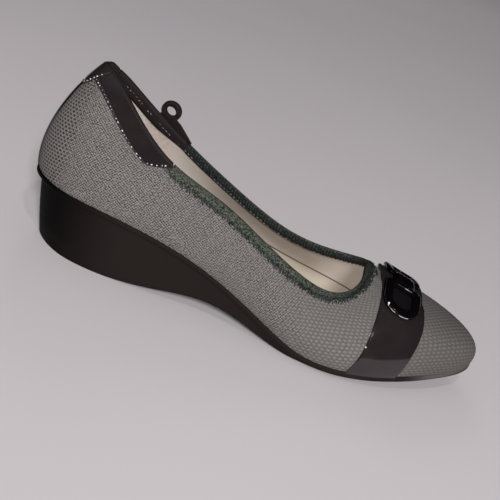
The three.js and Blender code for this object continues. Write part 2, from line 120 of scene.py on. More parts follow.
# %% The surface of the last
ring = np.eye(LINES)
bend_rule = 4 * ring + np.roll(ring, 1, axis=1) + np.roll(ring, -1, axis=1)
slopes = {n: np.linalg.solve(bend_rule, 3 * (np.roll(p, -1) - np.roll(p, 1))) for n, p in last.items()}
UP = np.array([0, 0, 1.0])
STEP = 0.01                      # share of a line over which a slope is measured


def size(name, u):
    i = np.floor(u).astype(int)
    t = u - i
    a, b = i % LINES, (i + 1) % LINES
    p, m = last[name], slopes[name]
    return (p[a] * (2 * t ** 3 - 3 * t ** 2 + 1) + m[a] * (t ** 3 - 2 * t ** 2 + t)
            + p[b] * (3 * t ** 2 - 2 * t ** 3) + m[b] * (t ** 3 - t ** 2))


def unit(vectors):
    return vectors / np.linalg.norm(vectors, axis=-1, keepdims=True)


def spot(u, *names):
    return np.stack([size(name, u) for name in names], axis=-1)


def feather(u):
    return spot(u, "x", "y", "z")


def outward(u):
    ahead = feather(u + STEP) - feather(u - STEP)
    return unit(np.stack([ahead[..., 1], -ahead[..., 0], 0 * u], axis=-1))


def skin(u, v):
    out, t = outward(u), np.asarray(v)[..., None]
    foot, rim = feather(u), spot(u, "top_x", "top_y", "top_z")
    low = foot + out * size("flare", u)[..., None] + UP * size("rise", u)[..., None]
    high = rim + out * size("lean", u)[..., None] - UP * size("drop", u)[..., None]
    return (1 - t) ** 3 * foot + 3 * (1 - t) ** 2 * t * low + 3 * (1 - t) * t ** 2 * high + t ** 3 * rim


def climb(u, v):
    below = np.clip(v, STEP, 1 - STEP) - STEP
    return skin(u, below + 2 * STEP) - skin(u, below)


def normal(u, v):
    return unit(np.cross(skin(u + STEP, v) - skin(u - STEP, v), climb(u, v)))


def away(u, v, distance):
    return skin(u, v) + normal(u, v) * np.asarray(distance)[..., None]


def rim_pace(u):
    """Millimetres that line u climbs per share of its height, just below the rim."""
    return 3 * np.hypot(size("drop", u), size("lean", u))


def share_below(u, distance):
    """Height, as a share of line u, at the given distance below the rim."""
    return 1 - distance / rim_pace(u)


def lerp(a, b, t):
    return a + (b - a) * t


def smooth(low, high, value):
    t = np.clip((value - low) / (high - low), 0, 1)
    return t * t * (3 - 2 * t)


FACETS = 6                       # of the solids, from line to line
facets = np.arange(LINES * FACETS) / FACETS
rand_corner = (feather(facets) + RAND_LIP * outward(facets)).min(axis=0)
SHIFT = np.array(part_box("wedge_sole")[0]) / MM - rand_corner
SHIFT[2] = 0
print("last to frame, mm", SHIFT.round(2))

# %% [markdown]
# ## Small mesh tools
# Nearly all pieces are grids of points on the last, joined with four-sided faces. One helper joins a
# grid, one turns points into an object that rides on the shoe, one sweeps a rounded bar along a
# line, and one strews many short threads, joined into one mesh, for stitches.

# %% Grids and objects
def grid(first, second):
    """Both values at every crossing of a grid."""
    return np.meshgrid(first, second, indexing="ij")


def grid_faces(rows, cols, close_rows=False, close_cols=False):
    """Four-sided faces between the points of a grid, which may close on itself."""
    i, j = grid(np.arange(rows if close_rows else rows - 1), np.arange(cols if close_cols else cols - 1))
    k, m = (i + 1) % rows, (j + 1) % cols
    corners = [i * cols + j, k * cols + j, k * cols + m, i * cols + m]
    return np.stack(corners, axis=-1).reshape(-1, 4).tolist()


def shifted(faces, start):
    """The same faces, for points that follow others in one piece."""
    return [[k + start for k in face] for face in faces]


def enclosed(points, faces):
    """Six times the volume inside the faces, below zero when they look inwards."""
    total = 0.0
    for face in faces:
        a = points[face[0]]
        for b, c in zip(face[1:-1], face[2:]):
            total += np.dot(a, np.cross(points[b], points[c]))
    return total


SAMPLE = 4000                    # faces that are asked which way they look


def add_piece(name, points, faces, finish, replaced=(), cloth=None, outside=None):
    """An object from points in millimetres of the last. outside(points) is the way its faces look."""
    points = np.asarray(points, float).reshape(-1, 3)
    if outside is None:
        turned = enclosed(points, faces) < 0
    else:
        sample = faces[:: max(1, len(faces) // SAMPLE)]
        spots = points[[f[0] for f in sample]]
        looks = np.cross(points[[f[1] for f in sample]] - spots, points[[f[2] for f in sample]] - spots)
        turned = (looks * outside(spots)).sum() < 0
    if turned:
        faces = [face[::-1] for face in faces]
    mesh = bpy.data.meshes.new(name)
    mesh.from_pydata(((points + SHIFT) * MM).tolist(), [], faces)
    if cloth is not None:
        corner = np.empty(len(mesh.loops), int)
        mesh.loops.foreach_get("vertex_index", corner)
        layer = mesh.uv_layers.new(name="cloth")
        layer.data.foreach_set("uv", np.asarray(cloth, float).reshape(-1, 2)[corner].ravel())
    mesh.shade_smooth()
    mesh.materials.append(finish)
    piece = bpy.data.objects.new(name, mesh)
    bpy.context.scene.collection.objects.link(piece)
    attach(piece, "root")
    if replaced:
        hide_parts(*replaced)
    print(name, len(mesh.polygons), "faces")


def run_along(points):
    """Distance travelled along the first axis of a grid of points."""
    steps = np.linalg.norm(np.diff(points, axis=0), axis=-1)
    return np.concatenate([np.zeros((1,) + steps.shape[1:]), np.cumsum(steps, axis=0)])


def rise_along(points):
    """Distance travelled along the second axis of a grid of points."""
    return run_along(points.transpose(1, 0, 2)).T


def full(wave, power):
    """A cosine or sine made fuller, for ovals with squarer corners."""
    return np.sign(wave) * np.abs(wave) ** power


def end_lids(rows, cols):
    """The two faces that close the ends of a tube."""
    return [list(range(cols))[::-1], list(range((rows - 1) * cols, rows * cols))]


def bar(centres, sides, ups, widths, heights, segments, closed=False, power=1.0):
    """A rounded bar: an oval at each centre, spanned by a side and an up direction."""
    turn = np.linspace(0, 2 * np.pi, segments, endpoint=False)
    across = full(np.cos(turn), power)[None, :, None] * np.reshape(widths, (-1, 1, 1)) / 2
    upward = full(np.sin(turn), power)[None, :, None] * np.reshape(heights, (-1, 1, 1)) / 2
    points = centres[:, None] + sides[:, None] * across + ups[:, None] * upward
    faces = grid_faces(len(centres), segments, close_rows=closed, close_cols=True)
    if not closed:
        faces += end_lids(len(centres), segments)
    return points.reshape(-1, 3), faces


def strew(starts, ends, ups, thickness, finish, name, slot, fullness):
    """Many short threads from starts to ends, each a capsule that bows up in the middle."""
    points, faces = [], []
    ways = np.array([0, 0.1, 0.3, 0.5, 0.7, 0.9, 1.0])
    girth = np.array([0.35, 0.8, 1.0, 1.0, 1.0, 0.8, 0.35]) * thickness
    for a, b, up in zip(starts, ends, ups):
        along = unit(b - a)
        centres = lerp(a, b, ways[:, None]) + up * (fullness * thickness * np.sin(np.pi * ways))[:, None]
        side = np.broadcast_to(unit(np.cross(along, up)), centres.shape)
        lifted = np.broadcast_to(up, centres.shape)
        some, some_faces = bar(centres, side, lifted, girth, girth, segments=6)
        faces += shifted(some_faces, len(some) * len(points))
        points.append(some)
    add_piece(name, np.concatenate(points), faces, finish, outside=lambda p: 0 * p + ups.mean(axis=0))


# %% [markdown]
# ## Shader maths in plain Python
# A node tree is a sum written with wires. Wrapping a socket in a small class lets the sum be
# written as a sum: each operator adds its Math node. Colours go through Mix, since a Math node
# would turn them grey, and every other node comes from one method.

# %% Sockets that can be added up
class Shade:
    """A value that varies over a surface."""

    def __init__(self, finish, socket):
        self.finish = finish
        self.socket = socket

    def maths(self, operation, *others):
        values = dict(enumerate((self,) + others))
        return self.finish.node("ShaderNodeMath", {"operation": operation}, values)

    def __add__(self, other):
        return self.maths("ADD", other)

    __radd__ = __add__

    def __sub__(self, other):
        return self.maths("SUBTRACT", other)

    def __rsub__(self, other):
        return (self * -1.0) + other

    def __mul__(self, other):
        return self.maths("MULTIPLY", other)

    __rmul__ = __mul__

    def wave(self, length):
        """A cosine that repeats after the given length."""
        return (self * (2 * math.pi / length)).maths("COSINE")

    def size(self):
        return self.maths("ABSOLUTE")

    def between(self, low, high, out_low=0.0, out_high=1.0):
        """A soft step from out_low to out_high as the value passes from low to high."""
        return self.finish.node("ShaderNodeMapRange", {"interpolation_type": "SMOOTHSTEP"}, {
            "Value": self, "From Min": low, "From Max": high, "To Min": out_low, "To Max": out_high})


def srgb(red, green, blue):
    """A colour as seen on a screen, 0 to 255, in the light values that shaders use."""
    values = np.array([red, green, blue]) / 255
    light = np.where(values <= 0.04045, values / 12.92, ((values + 0.055) / 1.055) ** 2.4)
    return tuple(light.tolist()) + (1.0,)


class Finish:
    """A material and the nodes that make it."""

    def __init__(self, name, **constants):
        self.material = bpy.data.materials.new(name)
        self.material.use_nodes = True
        self.tree = self.material.node_tree
        self.shader = self.tree.nodes["Principled BSDF"]
        for socket, value in constants.items():
            self.shader.inputs[socket.replace("_", " ").title().replace("Ior", "IOR")].default_value = value

    def plug(self, socket, value):
        if isinstance(value, Shade):
            self.tree.links.new(value.socket, socket)
        else:
            socket.default_value = value

    def node(self, kind, settings=None, values=None, output=0):
        made = self.tree.nodes.new(kind)
        for key, value in (settings or {}).items():
            setattr(made, key, value)
        for key, value in (values or {}).items():
            self.plug(made.inputs[key], value)
        return Shade(self, made.outputs[output])

    def place(self):
        """The point of the surface, in metres of the frame."""
        return self.node("ShaderNodeTexCoord", output="Object")

    def cloth(self):
        """The two directions of the piece, in millimetres."""
        layer = self.node("ShaderNodeUVMap", {"uv_map": "cloth"})
        both = self.node("ShaderNodeSeparateXYZ", values={"Vector": layer}).socket.node
        return Shade(self, both.outputs["X"]), Shade(self, both.outputs["Y"])

    def axes(self):
        both = self.node("ShaderNodeSeparateXYZ", values={"Vector": self.place()}).socket.node
        return [Shade(self, both.outputs[axis]) for axis in "XYZ"]

    def noise(self, scale, detail=3.0, roughness=0.5):
        return self.node("ShaderNodeTexNoise", values={
            "Vector": self.place(), "Scale": scale, "Detail": detail, "Roughness": roughness})

    def blend(self, factor, first, second):
        """A colour between two, by a factor."""
        made = self.tree.nodes.new("ShaderNodeMix")
        made.data_type = "RGBA"
        self.plug(made.inputs["Factor"], factor)
        for socket, value in zip([s for s in made.inputs if s.type == "RGBA"], (first, second)):
            self.plug(socket, value)
        return Shade(self, next(s for s in made.outputs if s.type == "RGBA"))

    def bump(self, relief, distance):
        return self.node("ShaderNodeBump", values={"Height": relief, "Distance": distance, "Strength": 1.0})

    def set(self, **sockets):
        for key, value in sockets.items():
            self.plug(self.shader.inputs[key.replace("_", " ")], value)
        return self.material


def two_tones(name, scale, first, second, detail=3.0, edges=None, **constants):
    """A plain material whose colour wanders between two, softly or from edge to edge."""
    finish = Finish(name, **constants)
    tone = finish.noise(scale, detail)
    if edges:
        tone = tone.between(*edges)
    return finish.set(Base_Color=finish.blend(tone, srgb(*first), srgb(*second)))


# %% [markdown]
# ## The knitted mesh
# The upper is knitted in short pale floats, staggered like bricks, over a darker ground. Its sides
# show a fine grain of single strands and the tight heel shows small holes, painted dark with shade;
# the toe is painted darker with shade too. Floats 2.5 mm wide are too many to model one by one, so
# the pattern is worked out in the shader from two directions, in millimetres, that lie on the surface
# like a draped cloth.

# %% Mesh finish
FLOAT, COURSE = 2.5, 1.68        # a float with its gap, and the height of a row, in millimetres
STRAND, STRAND_ROW = 1.6, 1.45   # the same for the single strands of the sides
HEEL_ZONE = (-0.096, -0.106)     # where the sides change to the tight heel, in metres of the frame


def knit_finish():
    finish = Finish("knitted_mesh", roughness=0.8)
    x = finish.axes()[0]
    along, up = finish.cloth()
    drift = finish.noise(420.0, 2.0)
    sway = finish.noise(60.0, 2.0)
    strands = along.wave(STRAND) * up.wave(STRAND_ROW)
    along = along + (drift - 0.5) * 0.8 + (sway - 0.5) * 1.6
    up = up + (drift - 0.5) * 0.4
    floats = along.wave(FLOAT) * up.wave(2 * COURSE)
    rows = up.wave(COURSE)
    relief = floats * 0.6 + rows * 0.4
    grain = finish.noise(2700.0, 1.0) - 0.5
    fuzz = finish.noise(2100.0, 2.0)
    fine = x.between(0.045, 0.005, 0.12, 1.0) * x.between(-0.112, -0.1, 0.2, 1.0)
    tight = x.between(*HEEL_ZONE)
    raised = relief * x.between(-0.103, HEEL_ZONE[0], -0.35, 0.2)
    value = 0.5 + raised + strands * fine * 0.44 + grain * fine * 2.8 + (fuzz - 0.5) * 0.25
    worn = finish.noise(28.0, 3.0)
    light = finish.blend(worn.between(0.35, 0.7), srgb(137, 132, 130), srgb(135, 131, 127))
    cloth = finish.blend(value.between(0.0, 1.0), srgb(40, 37, 36), light)
    # painted shade: the holes of the tight heel, and a little the hollows of the knit, are painted dark with
    # the shade that falls into them
    shaded_holes = relief.between(0.08, 0.5) * tight * 0.85 + (relief * -1.0).between(0.3, 0.75) * 0.06
    # painted shade: the toe, which faces up and away from the lamp, is painted darker
    toe = x.between(0.055, 0.105, 0.0, 0.34)
    shaded = finish.blend(toe, cloth, srgb(58, 55, 54))
    return finish.set(
        Base_Color=finish.blend(shaded_holes, shaded, srgb(20, 18, 18)),
        Roughness=fuzz.between(0.2, 0.8, 0.7, 0.95),
        Normal=finish.bump(relief * 0.5 - shaded_holes + grain * fine, 0.0002),
    )


knit = knit_finish()

# %% [markdown]
# ## Draping the cloth directions
# The rows of a knit run round the last like contour lines, here rising a little to the toe. The two
# cloth directions are the pair of fields whose steps fit that best over the whole grid: a least
# squares fit, solved with conjugate gradients. It spreads the unavoidable stretch evenly.

# %% Least squares drape
DRAPE_ROUNDS = 400


def fit_steps(down, right):
    """The field whose differences along both axes of the grid come closest to the wanted steps."""
    def gather(a, b):
        total = np.zeros((a.shape[0] + 1, a.shape[1]))
        total[1:] += a
        total[:-1] -= a
        total[:, 1:] += b
        total[:, :-1] -= b
        return total

    middle = right.shape[1] // 2
    side = np.concatenate([np.zeros((right.shape[0], 1)), np.cumsum(right, axis=1)], axis=1)
    field = np.concatenate([[0.0], np.cumsum(down[:, middle])])[:, None] + side - side[:, [middle]]
    rest = gather(down - np.diff(field, axis=0), right - np.diff(field, axis=1))
    way, power = rest.copy(), (rest ** 2).sum()
    for _ in range(DRAPE_ROUNDS):
        pushed = gather(np.diff(way, axis=0), np.diff(way, axis=1))
        step = power / max((way * pushed).sum(), 1e-12)
        field += step * way
        rest -= step * pushed
        fresh = (rest ** 2).sum()
        way, power = rest + fresh / max(power, 1e-12) * way, fresh
    return field


def drape(points, faces_out, tangents):
    """Cloth directions in millimetres for a grid of points with outward and rowwise directions."""
    fields = []
    across = np.cross(faces_out, tangents)
    for heading in (tangents, across):
        down = (np.diff(points, axis=0) * (heading[1:] + heading[:-1]) / 2).sum(axis=-1)
        right = (np.diff(points, axis=1) * (heading[:, 1:] + heading[:, :-1]) / 2).sum(axis=-1)
        fields.append(fit_steps(down, right))
    return np.stack(fields, axis=-1)


# %% [markdown]
# ## The upper
# The mesh is pulled tight over the last and gathered a little by the elastic at the throat, which
# leaves faint ripples just below the binding. They are placed by the run of the rim.

# %% Mesh skin
rim_lines = np.linspace(0, LINES, 1601)
rim_run = run_along(skin(rim_lines, np.ones_like(rim_lines)))


def rim_distance(u):
    """Distance along the rim to line u, in millimetres."""
    return np.interp(np.mod(u, LINES), rim_lines, rim_run)


STRIP_EDGE = [(0.50, 0.820), (1.00, 0.795), (1.49, 0.760), (1.89, 0.725), (2.20, 0.700), (2.98, 0.700)]
TAB_EDGE, TAB_SEAM = 0.738, (0.36, 0.90)
STRIP_END, STRIP_ROUND = (2.46, 2.98), 0.7

RIPPLE, RIPPLE_HEIGHT, RIPPLE_REACH = 4.6, 0.22, 4.5
UPPER_GRID, LINING_GRID = (385, 97), (257, 41)

u_grid, v_grid = grid(np.linspace(0, LINES, UPPER_GRID[0]), np.linspace(0, 1, UPPER_GRID[1]))
upper_v = v_grid * share_below(u_grid, RIM - 0.8)
depth = (1 - upper_v) * rim_pace(u_grid)
from_strips = np.minimum(u_grid, LINES - u_grid) - STRIP_END[1]
fading = np.exp(-(np.clip(depth - SKIRT, 0, None) / RIPPLE_REACH) ** 2)
ripple = RIPPLE_HEIGHT * smooth(0, 0.3, from_strips) * fading
upper_points = away(u_grid, upper_v, ripple * np.cos(2 * np.pi * rim_distance(u_grid) / RIPPLE))
upper_out = normal(u_grid, upper_v)

at_toe = smooth(0.70 * LENGTH, 0.84 * LENGTH, upper_points[..., 0])
level = np.stack([-lerp(0.18, 0.42, at_toe), 0.38 * at_toe, 1 + 0 * at_toe], axis=-1)
row_way = unit(np.cross(level, upper_out))
upper_cloth = drape(upper_points, upper_out, row_way)
print("cloth spans, mm", np.ptp(upper_cloth.reshape(-1, 2), axis=0).round())

MIDDLE = np.array([0.5 * LENGTH, 0, 25.0])
add_piece("mesh_upper", upper_points, grid_faces(*UPPER_GRID), knit, ["upper"],
          cloth=upper_cloth, outside=lambda p: p - MIDDLE)

# %% [markdown]
# ## The lining
# Inside, a thin beige cloth backs the mesh, a second sheet one wall inside the last. Low down it
# meets a cream facing along a straight dark seam; behind, a heel has rubbed a pinkish patch into it.
# A faint glow of its own stands for the light that bounces about under the vamp.

# %% Lining
LINING_WEAVE = 0.8976            # millimetres from thread to thread
SEAM_SLOPE, SEAM_HEIGHT = 0.215, 0.0262


def lining_finish():
    finish = Finish("lining_cloth", roughness=0.8, emission_strength=1.0)
    x, y, z = finish.axes()
    along, up = finish.cloth()
    weave = along.wave(LINING_WEAVE) * up.wave(LINING_WEAVE)
    rubbed = finish.noise(38.0, 3.0)
    fluff = finish.noise(650.0, 4.0)
    textile = finish.blend(rubbed.between(0.35, 0.7), srgb(177, 166, 156), srgb(170, 158, 148))
    cream = finish.blend(rubbed.between(0.35, 0.7), srgb(171, 163, 150), srgb(166, 157, 143))
    front = finish.blend(x.between(-0.02, -0.06), textile, srgb(220, 209, 199))
    above = z + x * SEAM_SLOPE - SEAM_HEIGHT
    tone = finish.blend(above.between(-0.0002, 0.0002), cream, front)
    seam = above.size().between(0.0006, 0.0002)
    sewn = finish.blend(seam, tone, srgb(88, 72, 56))
    behind = x.between(-0.058, -0.066) * x.between(-0.082, -0.075)
    patch = behind * fluff.between(0.42, 0.6) * y.between(0.0, 0.01)
    # painted light: towards the toe the lining glows with a share of its own colour, for the light bounced
    # under the vamp
    shade = finish.blend(x.between(0.022, 0.05, 0.0, 0.4), (0, 0, 0, 1), sewn)
    return finish.set(
        Base_Color=finish.blend(patch * 0.5, sewn, srgb(204, 164, 148)),
        Emission_Color=shade,
        Normal=finish.bump(weave * 0.5 + rubbed, 0.0001),
    )


lining_u, lining_v = grid(np.linspace(0, LINES, LINING_GRID[0]), np.linspace(0, 1, LINING_GRID[1]))
lining_at = lining_v * share_below(lining_u, RIM - 0.5)
lining_points = away(lining_u, lining_at, -WALL)
lining_cloth = np.stack([run_along(lining_points), lining_at * 60], axis=-1)
add_piece("lining", lining_points, grid_faces(*LINING_GRID), lining_finish(),
          cloth=lining_cloth, outside=lambda p: MIDDLE - p)

# %% [markdown]
# ## The wedge
# Sole and wedge are one black moulding. A narrow rand stands proud under the upper, the side steps
# back below it, and at the heel the block leans forward. The profile is drawn once as a ladder of
# insets and heights and swept round the feather line; straight rungs close the underside. Round the
# toe the cloth of the upper is drawn down over the rand, so its top is mesh grey there.

# %% Wedge sole
def rubber_finish():
    finish = Finish("black_moulding", roughness=0.5, specular_ior_level=0.03)
    grain = finish.noise(1500.0, 2.0)
    dust = finish.noise(22.0, 4.0)
    x, _, z = finish.axes()
    scuff = dust.between(0.5, 0.75) * z.between(0.012, 0.0)
    tone = finish.blend(dust.between(0.3, 0.8), srgb(3, 2, 2), srgb(7, 5, 6))
    # painted reflection: forward of the heel the black moulding is painted lighter, for the pale floor
    # mirrored in it
    waist = finish.blend(x.between(-0.11, -0.06), tone, srgb(34, 29, 28))
    ahead = ((x - SHIFT[0] * MM) * (1 / (LENGTH * MM)) - BALL_END) * (1 / (1 - BALL_END))
    spring = ahead * ahead * (TOE_SPRING * MM)
    wrapped = (z - spring).between(0.0018, 0.0026) * x.between(0.088, 0.104)
    waist = finish.blend(wrapped, waist, srgb(84, 80, 78))
    return finish.set(
        Base_Color=finish.blend(scuff * 0.4, waist, srgb(50, 45, 42)),
        Roughness=dust.between(0.2, 0.8, 0.42, 0.6),
        Normal=finish.bump(grain, 0.00004),
    )


AROUND = 512                     # points round the sole and the sock
FLOOR_ROUND, SIDE_SWELL = 0.9, 0.5


def sole_rings(u):
    """Outlines of the moulding, from the seat under the upper down to the floor."""
    out, foot = outward(u), feather(u)
    back = np.clip(1 - foot[:, 0] / (HEEL_BLOCK * LENGTH), 0, 1)

    def at(inset, shift, z):
        p = foot - out * np.reshape(inset, (-1, 1))
        p[:, 0] += shift * back
        p[:, 2] = z
        return p

    tuck = size("tuck", u)
    floor = at(tuck, UNDERCUT, 0)
    floor[:, 2] = under(floor[:, 0])
    top = foot[:, 2]
    ledge = top - np.minimum(RAND, 0.55 * (top - GAP - floor[:, 2]))
    lip = lerp(1.0, 0.25, smooth(0.86 * LENGTH, 0.97 * LENGTH, foot[:, 0]))
    proud = -RAND_LIP * lip
    rings = [at(*rung) for rung in (
        (3.0, 0, top - 0.1), (0.2, 0, top - 0.1), (-0.3 * lip, 0, top + 0.05), (-0.62 * lip, 0, top - 0.15),
        (proud, 0, top - 0.5), (proud, 0, (top + ledge) / 2), (proud, 0, ledge + 0.45),
        (-0.65 * lip, 0, ledge + 0.15), (-0.35 * lip, 0.05 * UNDERCUT, ledge),
        (0.15, 0.2 * UNDERCUT, ledge - 0.12))]
    wedge = at(RAND_STEP + proud, 0.25 * UNDERCUT, ledge - 0.7)
    edge = floor + FLOOR_ROUND * UP
    for t in np.linspace(0, 1, 14):
        rings.append(lerp(wedge, edge, t) + out * (SIDE_SWELL * np.sin(np.pi * t) * back[:, None]))
    for way in (0.3, 0.6, 1.0):
        p = at(tuck + 0.8 * way, UNDERCUT, 0)
        p[:, 2] = under(p[:, 0]) + FLOOR_ROUND * (1 - math.sin(way * math.pi / 2))
        rings.append(p)
    return rings


def rungs(outline, count, settle=None):
    """Straight strips across a closed outline, lateral to medial; gives points and faces."""
    half = len(outline) // 2
    a = outline[: half + 1]
    b = outline[(-np.arange(half + 1)) % len(outline)]
    points = lerp(a[:, None], b[:, None], np.linspace(0, 1, count)[None, :, None])
    if settle is not None:
        points = settle(points)
    return points.reshape(-1, 3), grid_faces(half + 1, count)


def settle_on_floor(points):
    """Lays the inner points of every strip on the underside."""
    points = points.copy()
    points[:, 1:-1, 2] = under(points[:, 1:-1, 0])
    return points


round_lines = np.linspace(0, LINES, AROUND, endpoint=False)
levels = sole_rings(round_lines)
wall = np.stack(levels).reshape(-1, 3)
bottom, bottom_faces = rungs(levels[-1], 25, settle_on_floor)
deck, deck_faces = rungs(levels[0], 9)
sole_faces = [face[::-1] for face in grid_faces(len(levels), AROUND, close_cols=True)]
sole_faces += shifted(bottom_faces, len(wall))
sole_faces += [face[::-1] for face in shifted(deck_faces, len(wall) + len(bottom))]
add_piece("wedge", np.concatenate([wall, bottom, deck]), sole_faces, rubber_finish(), ["wedge_sole"],
          outside=lambda p: p - MIDDLE + 15 * UP)

# %% [markdown]
# ## The sock
# The footbed is covered by a cream sock, dished a little and rounded at its edge, with a thin dark
# seam where it meets the lining.

# %% Sock and its seam
def sock_finish():
    finish = Finish("cream_sock", roughness=0.7)
    pores = finish.noise(1800.0, 2.0)
    wear = finish.noise(45.0, 4.0)
    x = finish.axes()[0]
    rubbed = wear.between(0.45, 0.7) * x.between(-0.03, -0.075)
    tone = finish.blend(wear.between(0.3, 0.8), srgb(226, 213, 196), srgb(214, 199, 181))
    return finish.set(
        Base_Color=finish.blend(rubbed * 0.6, tone, srgb(214, 176, 160)),
        Roughness=wear.between(0.2, 0.8, 0.6, 0.75),
        Normal=finish.bump(pores, 0.00006),
    )


def sock_outline(inset, height):
    p = feather(round_lines) - outward(round_lines) * inset
    p[:, 2] += height
    return p


SOCK_TOP, SOCK_DISH, SOCK_SEAM = 2.75, 0.8, 0.7


def dish(points):
    t = np.linspace(-1, 1, points.shape[1])[None, :]
    points = points.copy()
    points[..., 2] -= SOCK_DISH * (1 - t ** 2)
    return points


sock_levels = [sock_outline(WALL + inset, height)
               for inset, height in ((0.5, 0.2), (0.1, 1.6), (0.2, 2.5), (0.9, SOCK_TOP))]
sock_side = np.stack(sock_levels).reshape(-1, 3)
sock_top, sock_top_faces = rungs(sock_levels[-1], 21, dish)
sock_faces = grid_faces(len(sock_levels), AROUND, close_cols=True) + shifted(sock_top_faces, len(sock_side))
add_piece("sock", np.concatenate([sock_side, sock_top]), sock_faces, sock_finish(), ["insole"],
          outside=lambda p: 0 * p + UP)

seam_line = sock_outline(WALL + 0.35, SOCK_TOP)
seam_points, seam_faces = bar(seam_line, outward(round_lines), np.tile(UP, (AROUND, 1)), SOCK_SEAM, SOCK_SEAM,
                              segments=8, closed=True)
dark_seam = two_tones("dark_seam", 900.0, (96, 78, 62), (70, 58, 48), roughness=0.8)
add_piece("sock_seam", seam_points, seam_faces, dark_seam)

# %% [markdown]
# ## Patent
# Patent leather is a dark skin under a thick clear gloss. Base and coat are both smooth; a little
# orange peel in the coat breaks the reflections as on the real thing. Where the sheet is folded
# over the rim it is rubbed, so it has no coat there and is rougher.

# %% Patent finish
PAST_LEG = 100.0                 # cloth heights from here on belong to the rim and the hem


def patent_finish():
    finish = Finish("black_patent", coat_roughness=0.03, coat_ior=1.5, specular_ior_level=0.5)
    rise = finish.cloth()[1]
    on_rim = rise.between(0.5 * PAST_LEG, PAST_LEG - 1)
    # painted sheen: the highest part of the patent legs, at the heel tab, is painted a lighter blue grey
    crown = finish.axes()[2].between(0.084, 0.093) * rise.between(0.6 * PAST_LEG, 0.5 * PAST_LEG)
    tone = finish.blend(crown, srgb(32, 27, 29), srgb(48, 46, 50))
    swell = finish.noise(260.0, 2.0)
    fine = finish.noise(1400.0, 2.0)
    smear = finish.noise(60.0, 3.0)
    return finish.set(
        Base_Color=finish.blend(smear.between(0.3, 0.7), tone, srgb(38, 33, 33)),
        Roughness=smear.between(0.3, 0.75, 0.16, 0.26) + on_rim * 0.4,
        Coat_Weight=0.6 - on_rim * 0.6,
        Normal=finish.bump(swell + fine * 0.15, 0.00003),
    )


patent = patent_finish()

# %% [markdown]
# ## Folded trims
# Heel tab and collar strips are cut from patent sheet, stitched near their lower edge and turned
# over the rim. The binding is elastic, folded the same way. One helper sweeps such a section: a leg
# up the outside, a rolled bead over the rim and a hem inside. Stitches pull small puckers into it.

# %% Sweep of a folded trim
def cut_share(u):
    return share_below(u, RIM)


def edge_roll(distance, thickness, radius=0.7):
    """A height that rises in a quarter round from the edge to the full thickness."""
    return thickness * np.sqrt(1 - (1 - np.clip(distance / radius, 0, 1)) ** 2)


END_ROLL, EDGE_DIP = 0.8, 0.15   # rounding of the two ends, and how far they dip into the mesh
CROWN_LINE, CROWN_WIDTH = -0.45, 0.3
RIM_STEPS, HEM_STEPS = 11, (0.3, 0.7, 1.0)


def folded(count, rows, place, leg_height, bead, hem, crown=0.0):
    """Section by section from place(s, t), which gives the line and the height of the lower edge.
    leg_height(run, rise) is the height off the mesh. hem is its depth at the start and at the end,
    and crown raises the bead behind the heel."""
    s, t = grid(np.linspace(0, 1, count), np.linspace(0, 1, rows) ** 1.3)
    u, edge = place(s, t)
    v = lerp(edge, cut_share(u), t)
    ground = skin(u, v)
    run, rise = run_along(ground), rise_along(ground)
    roll = edge_roll(np.minimum(run, run[-1:] - run), 1.0, END_ROLL)
    height = (leg_height(run, rise) + EDGE_DIP) * roll - EDGE_DIP
    leg = ground + normal(u, v) * height[..., None]
    top_u = u[:, -1:]
    rim, out = skin(top_u, cut_share(top_u)), normal(top_u, cut_share(top_u))
    over = unit(climb(top_u, cut_share(top_u)))
    half = WALL / 2 + bead
    turn = np.linspace(0.12, 1, RIM_STEPS)[None, :, None] * np.pi
    crowned = 1 + crown * np.exp(-((top_u - CROWN_LINE) / CROWN_WIDTH) ** 2)
    heights = RIM * roll[:, -1:, None] * crowned[..., None]
    depth = lerp(*hem, smooth(0.6, 1.0, s[:, -1:]))[..., None]
    arch = rim + out * (-WALL / 2 + half * np.cos(turn)) + over * (heights * np.sin(turn) ** 0.9)
    inside = rim - out * (WALL / 2 + half) - over * (np.array(HEM_STEPS)[None, :, None] * depth)
    tuck = rim - out * (WALL - 0.2) - over * (depth + 0.1)
    points = np.concatenate([leg, arch, inside, tuck], axis=1)
    wide = points.shape[1]
    past = PAST_LEG + np.linspace(0, 6, wide - rows) + 0 * run[:, :1]
    cloth = np.stack([np.concatenate([run, 0 * past + run[:, -1:]], axis=1),
                      np.concatenate([rise, past], axis=1)], axis=-1)
    faces = grid_faces(count, wide, close_cols=True) + end_lids(count, wide)
    return points.reshape(-1, 3), faces, cloth, (u, v, run, rise)


# %% [markdown]
# ## Heel tab and collar strips
# Three cut pieces of patent cap the collar: a tab behind the heel and a strip on each side, which
# ends in a slant. They meet at slanted seams, so the place of each edge is a function of the height.
# A stitch every 2.2 mm pulls the sheet down and lets it swell in between.

# %% Heel tab and collar strips
STITCH, STITCH_INSET = 2.2, 1.5  # from one stitch to the next, and from the edge
TRIM_ROWS = 44


def puckered(run, rise):
    """Patent sheet with a row of stitches pulled into it near the edge."""
    row = np.exp(-((rise - STITCH_INSET) / 0.55) ** 2)
    pull = 0.55 + 0.45 * np.cos(2 * np.pi * run / STITCH)
    swell = 0.18 * np.exp(-((rise - 0.8) / 0.4) ** 2) * np.cos(2 * np.pi * run / STITCH + 2.0)
    return edge_roll(rise, 0.95) - 0.42 * row * pull + swell


def tab_seam(t):
    return lerp(*TAB_SEAM, t)


def strip_end(t):
    return lerp(*STRIP_END, t ** STRIP_ROUND)


def way_up(u, low, height):
    """Where a height lies between the lower edge and the rim of line u, from 0 to 1."""
    return (height - low) / (cut_share(u) - low)


def strip_edge(u):
    return np.interp(u, *zip(*STRIP_EDGE))


def on_side(side, u):
    return u if side > 0 else LINES - u


def tab_place(s, t):
    return lerp(-1, 1, s) * tab_seam(t), TAB_EDGE + 0 * s


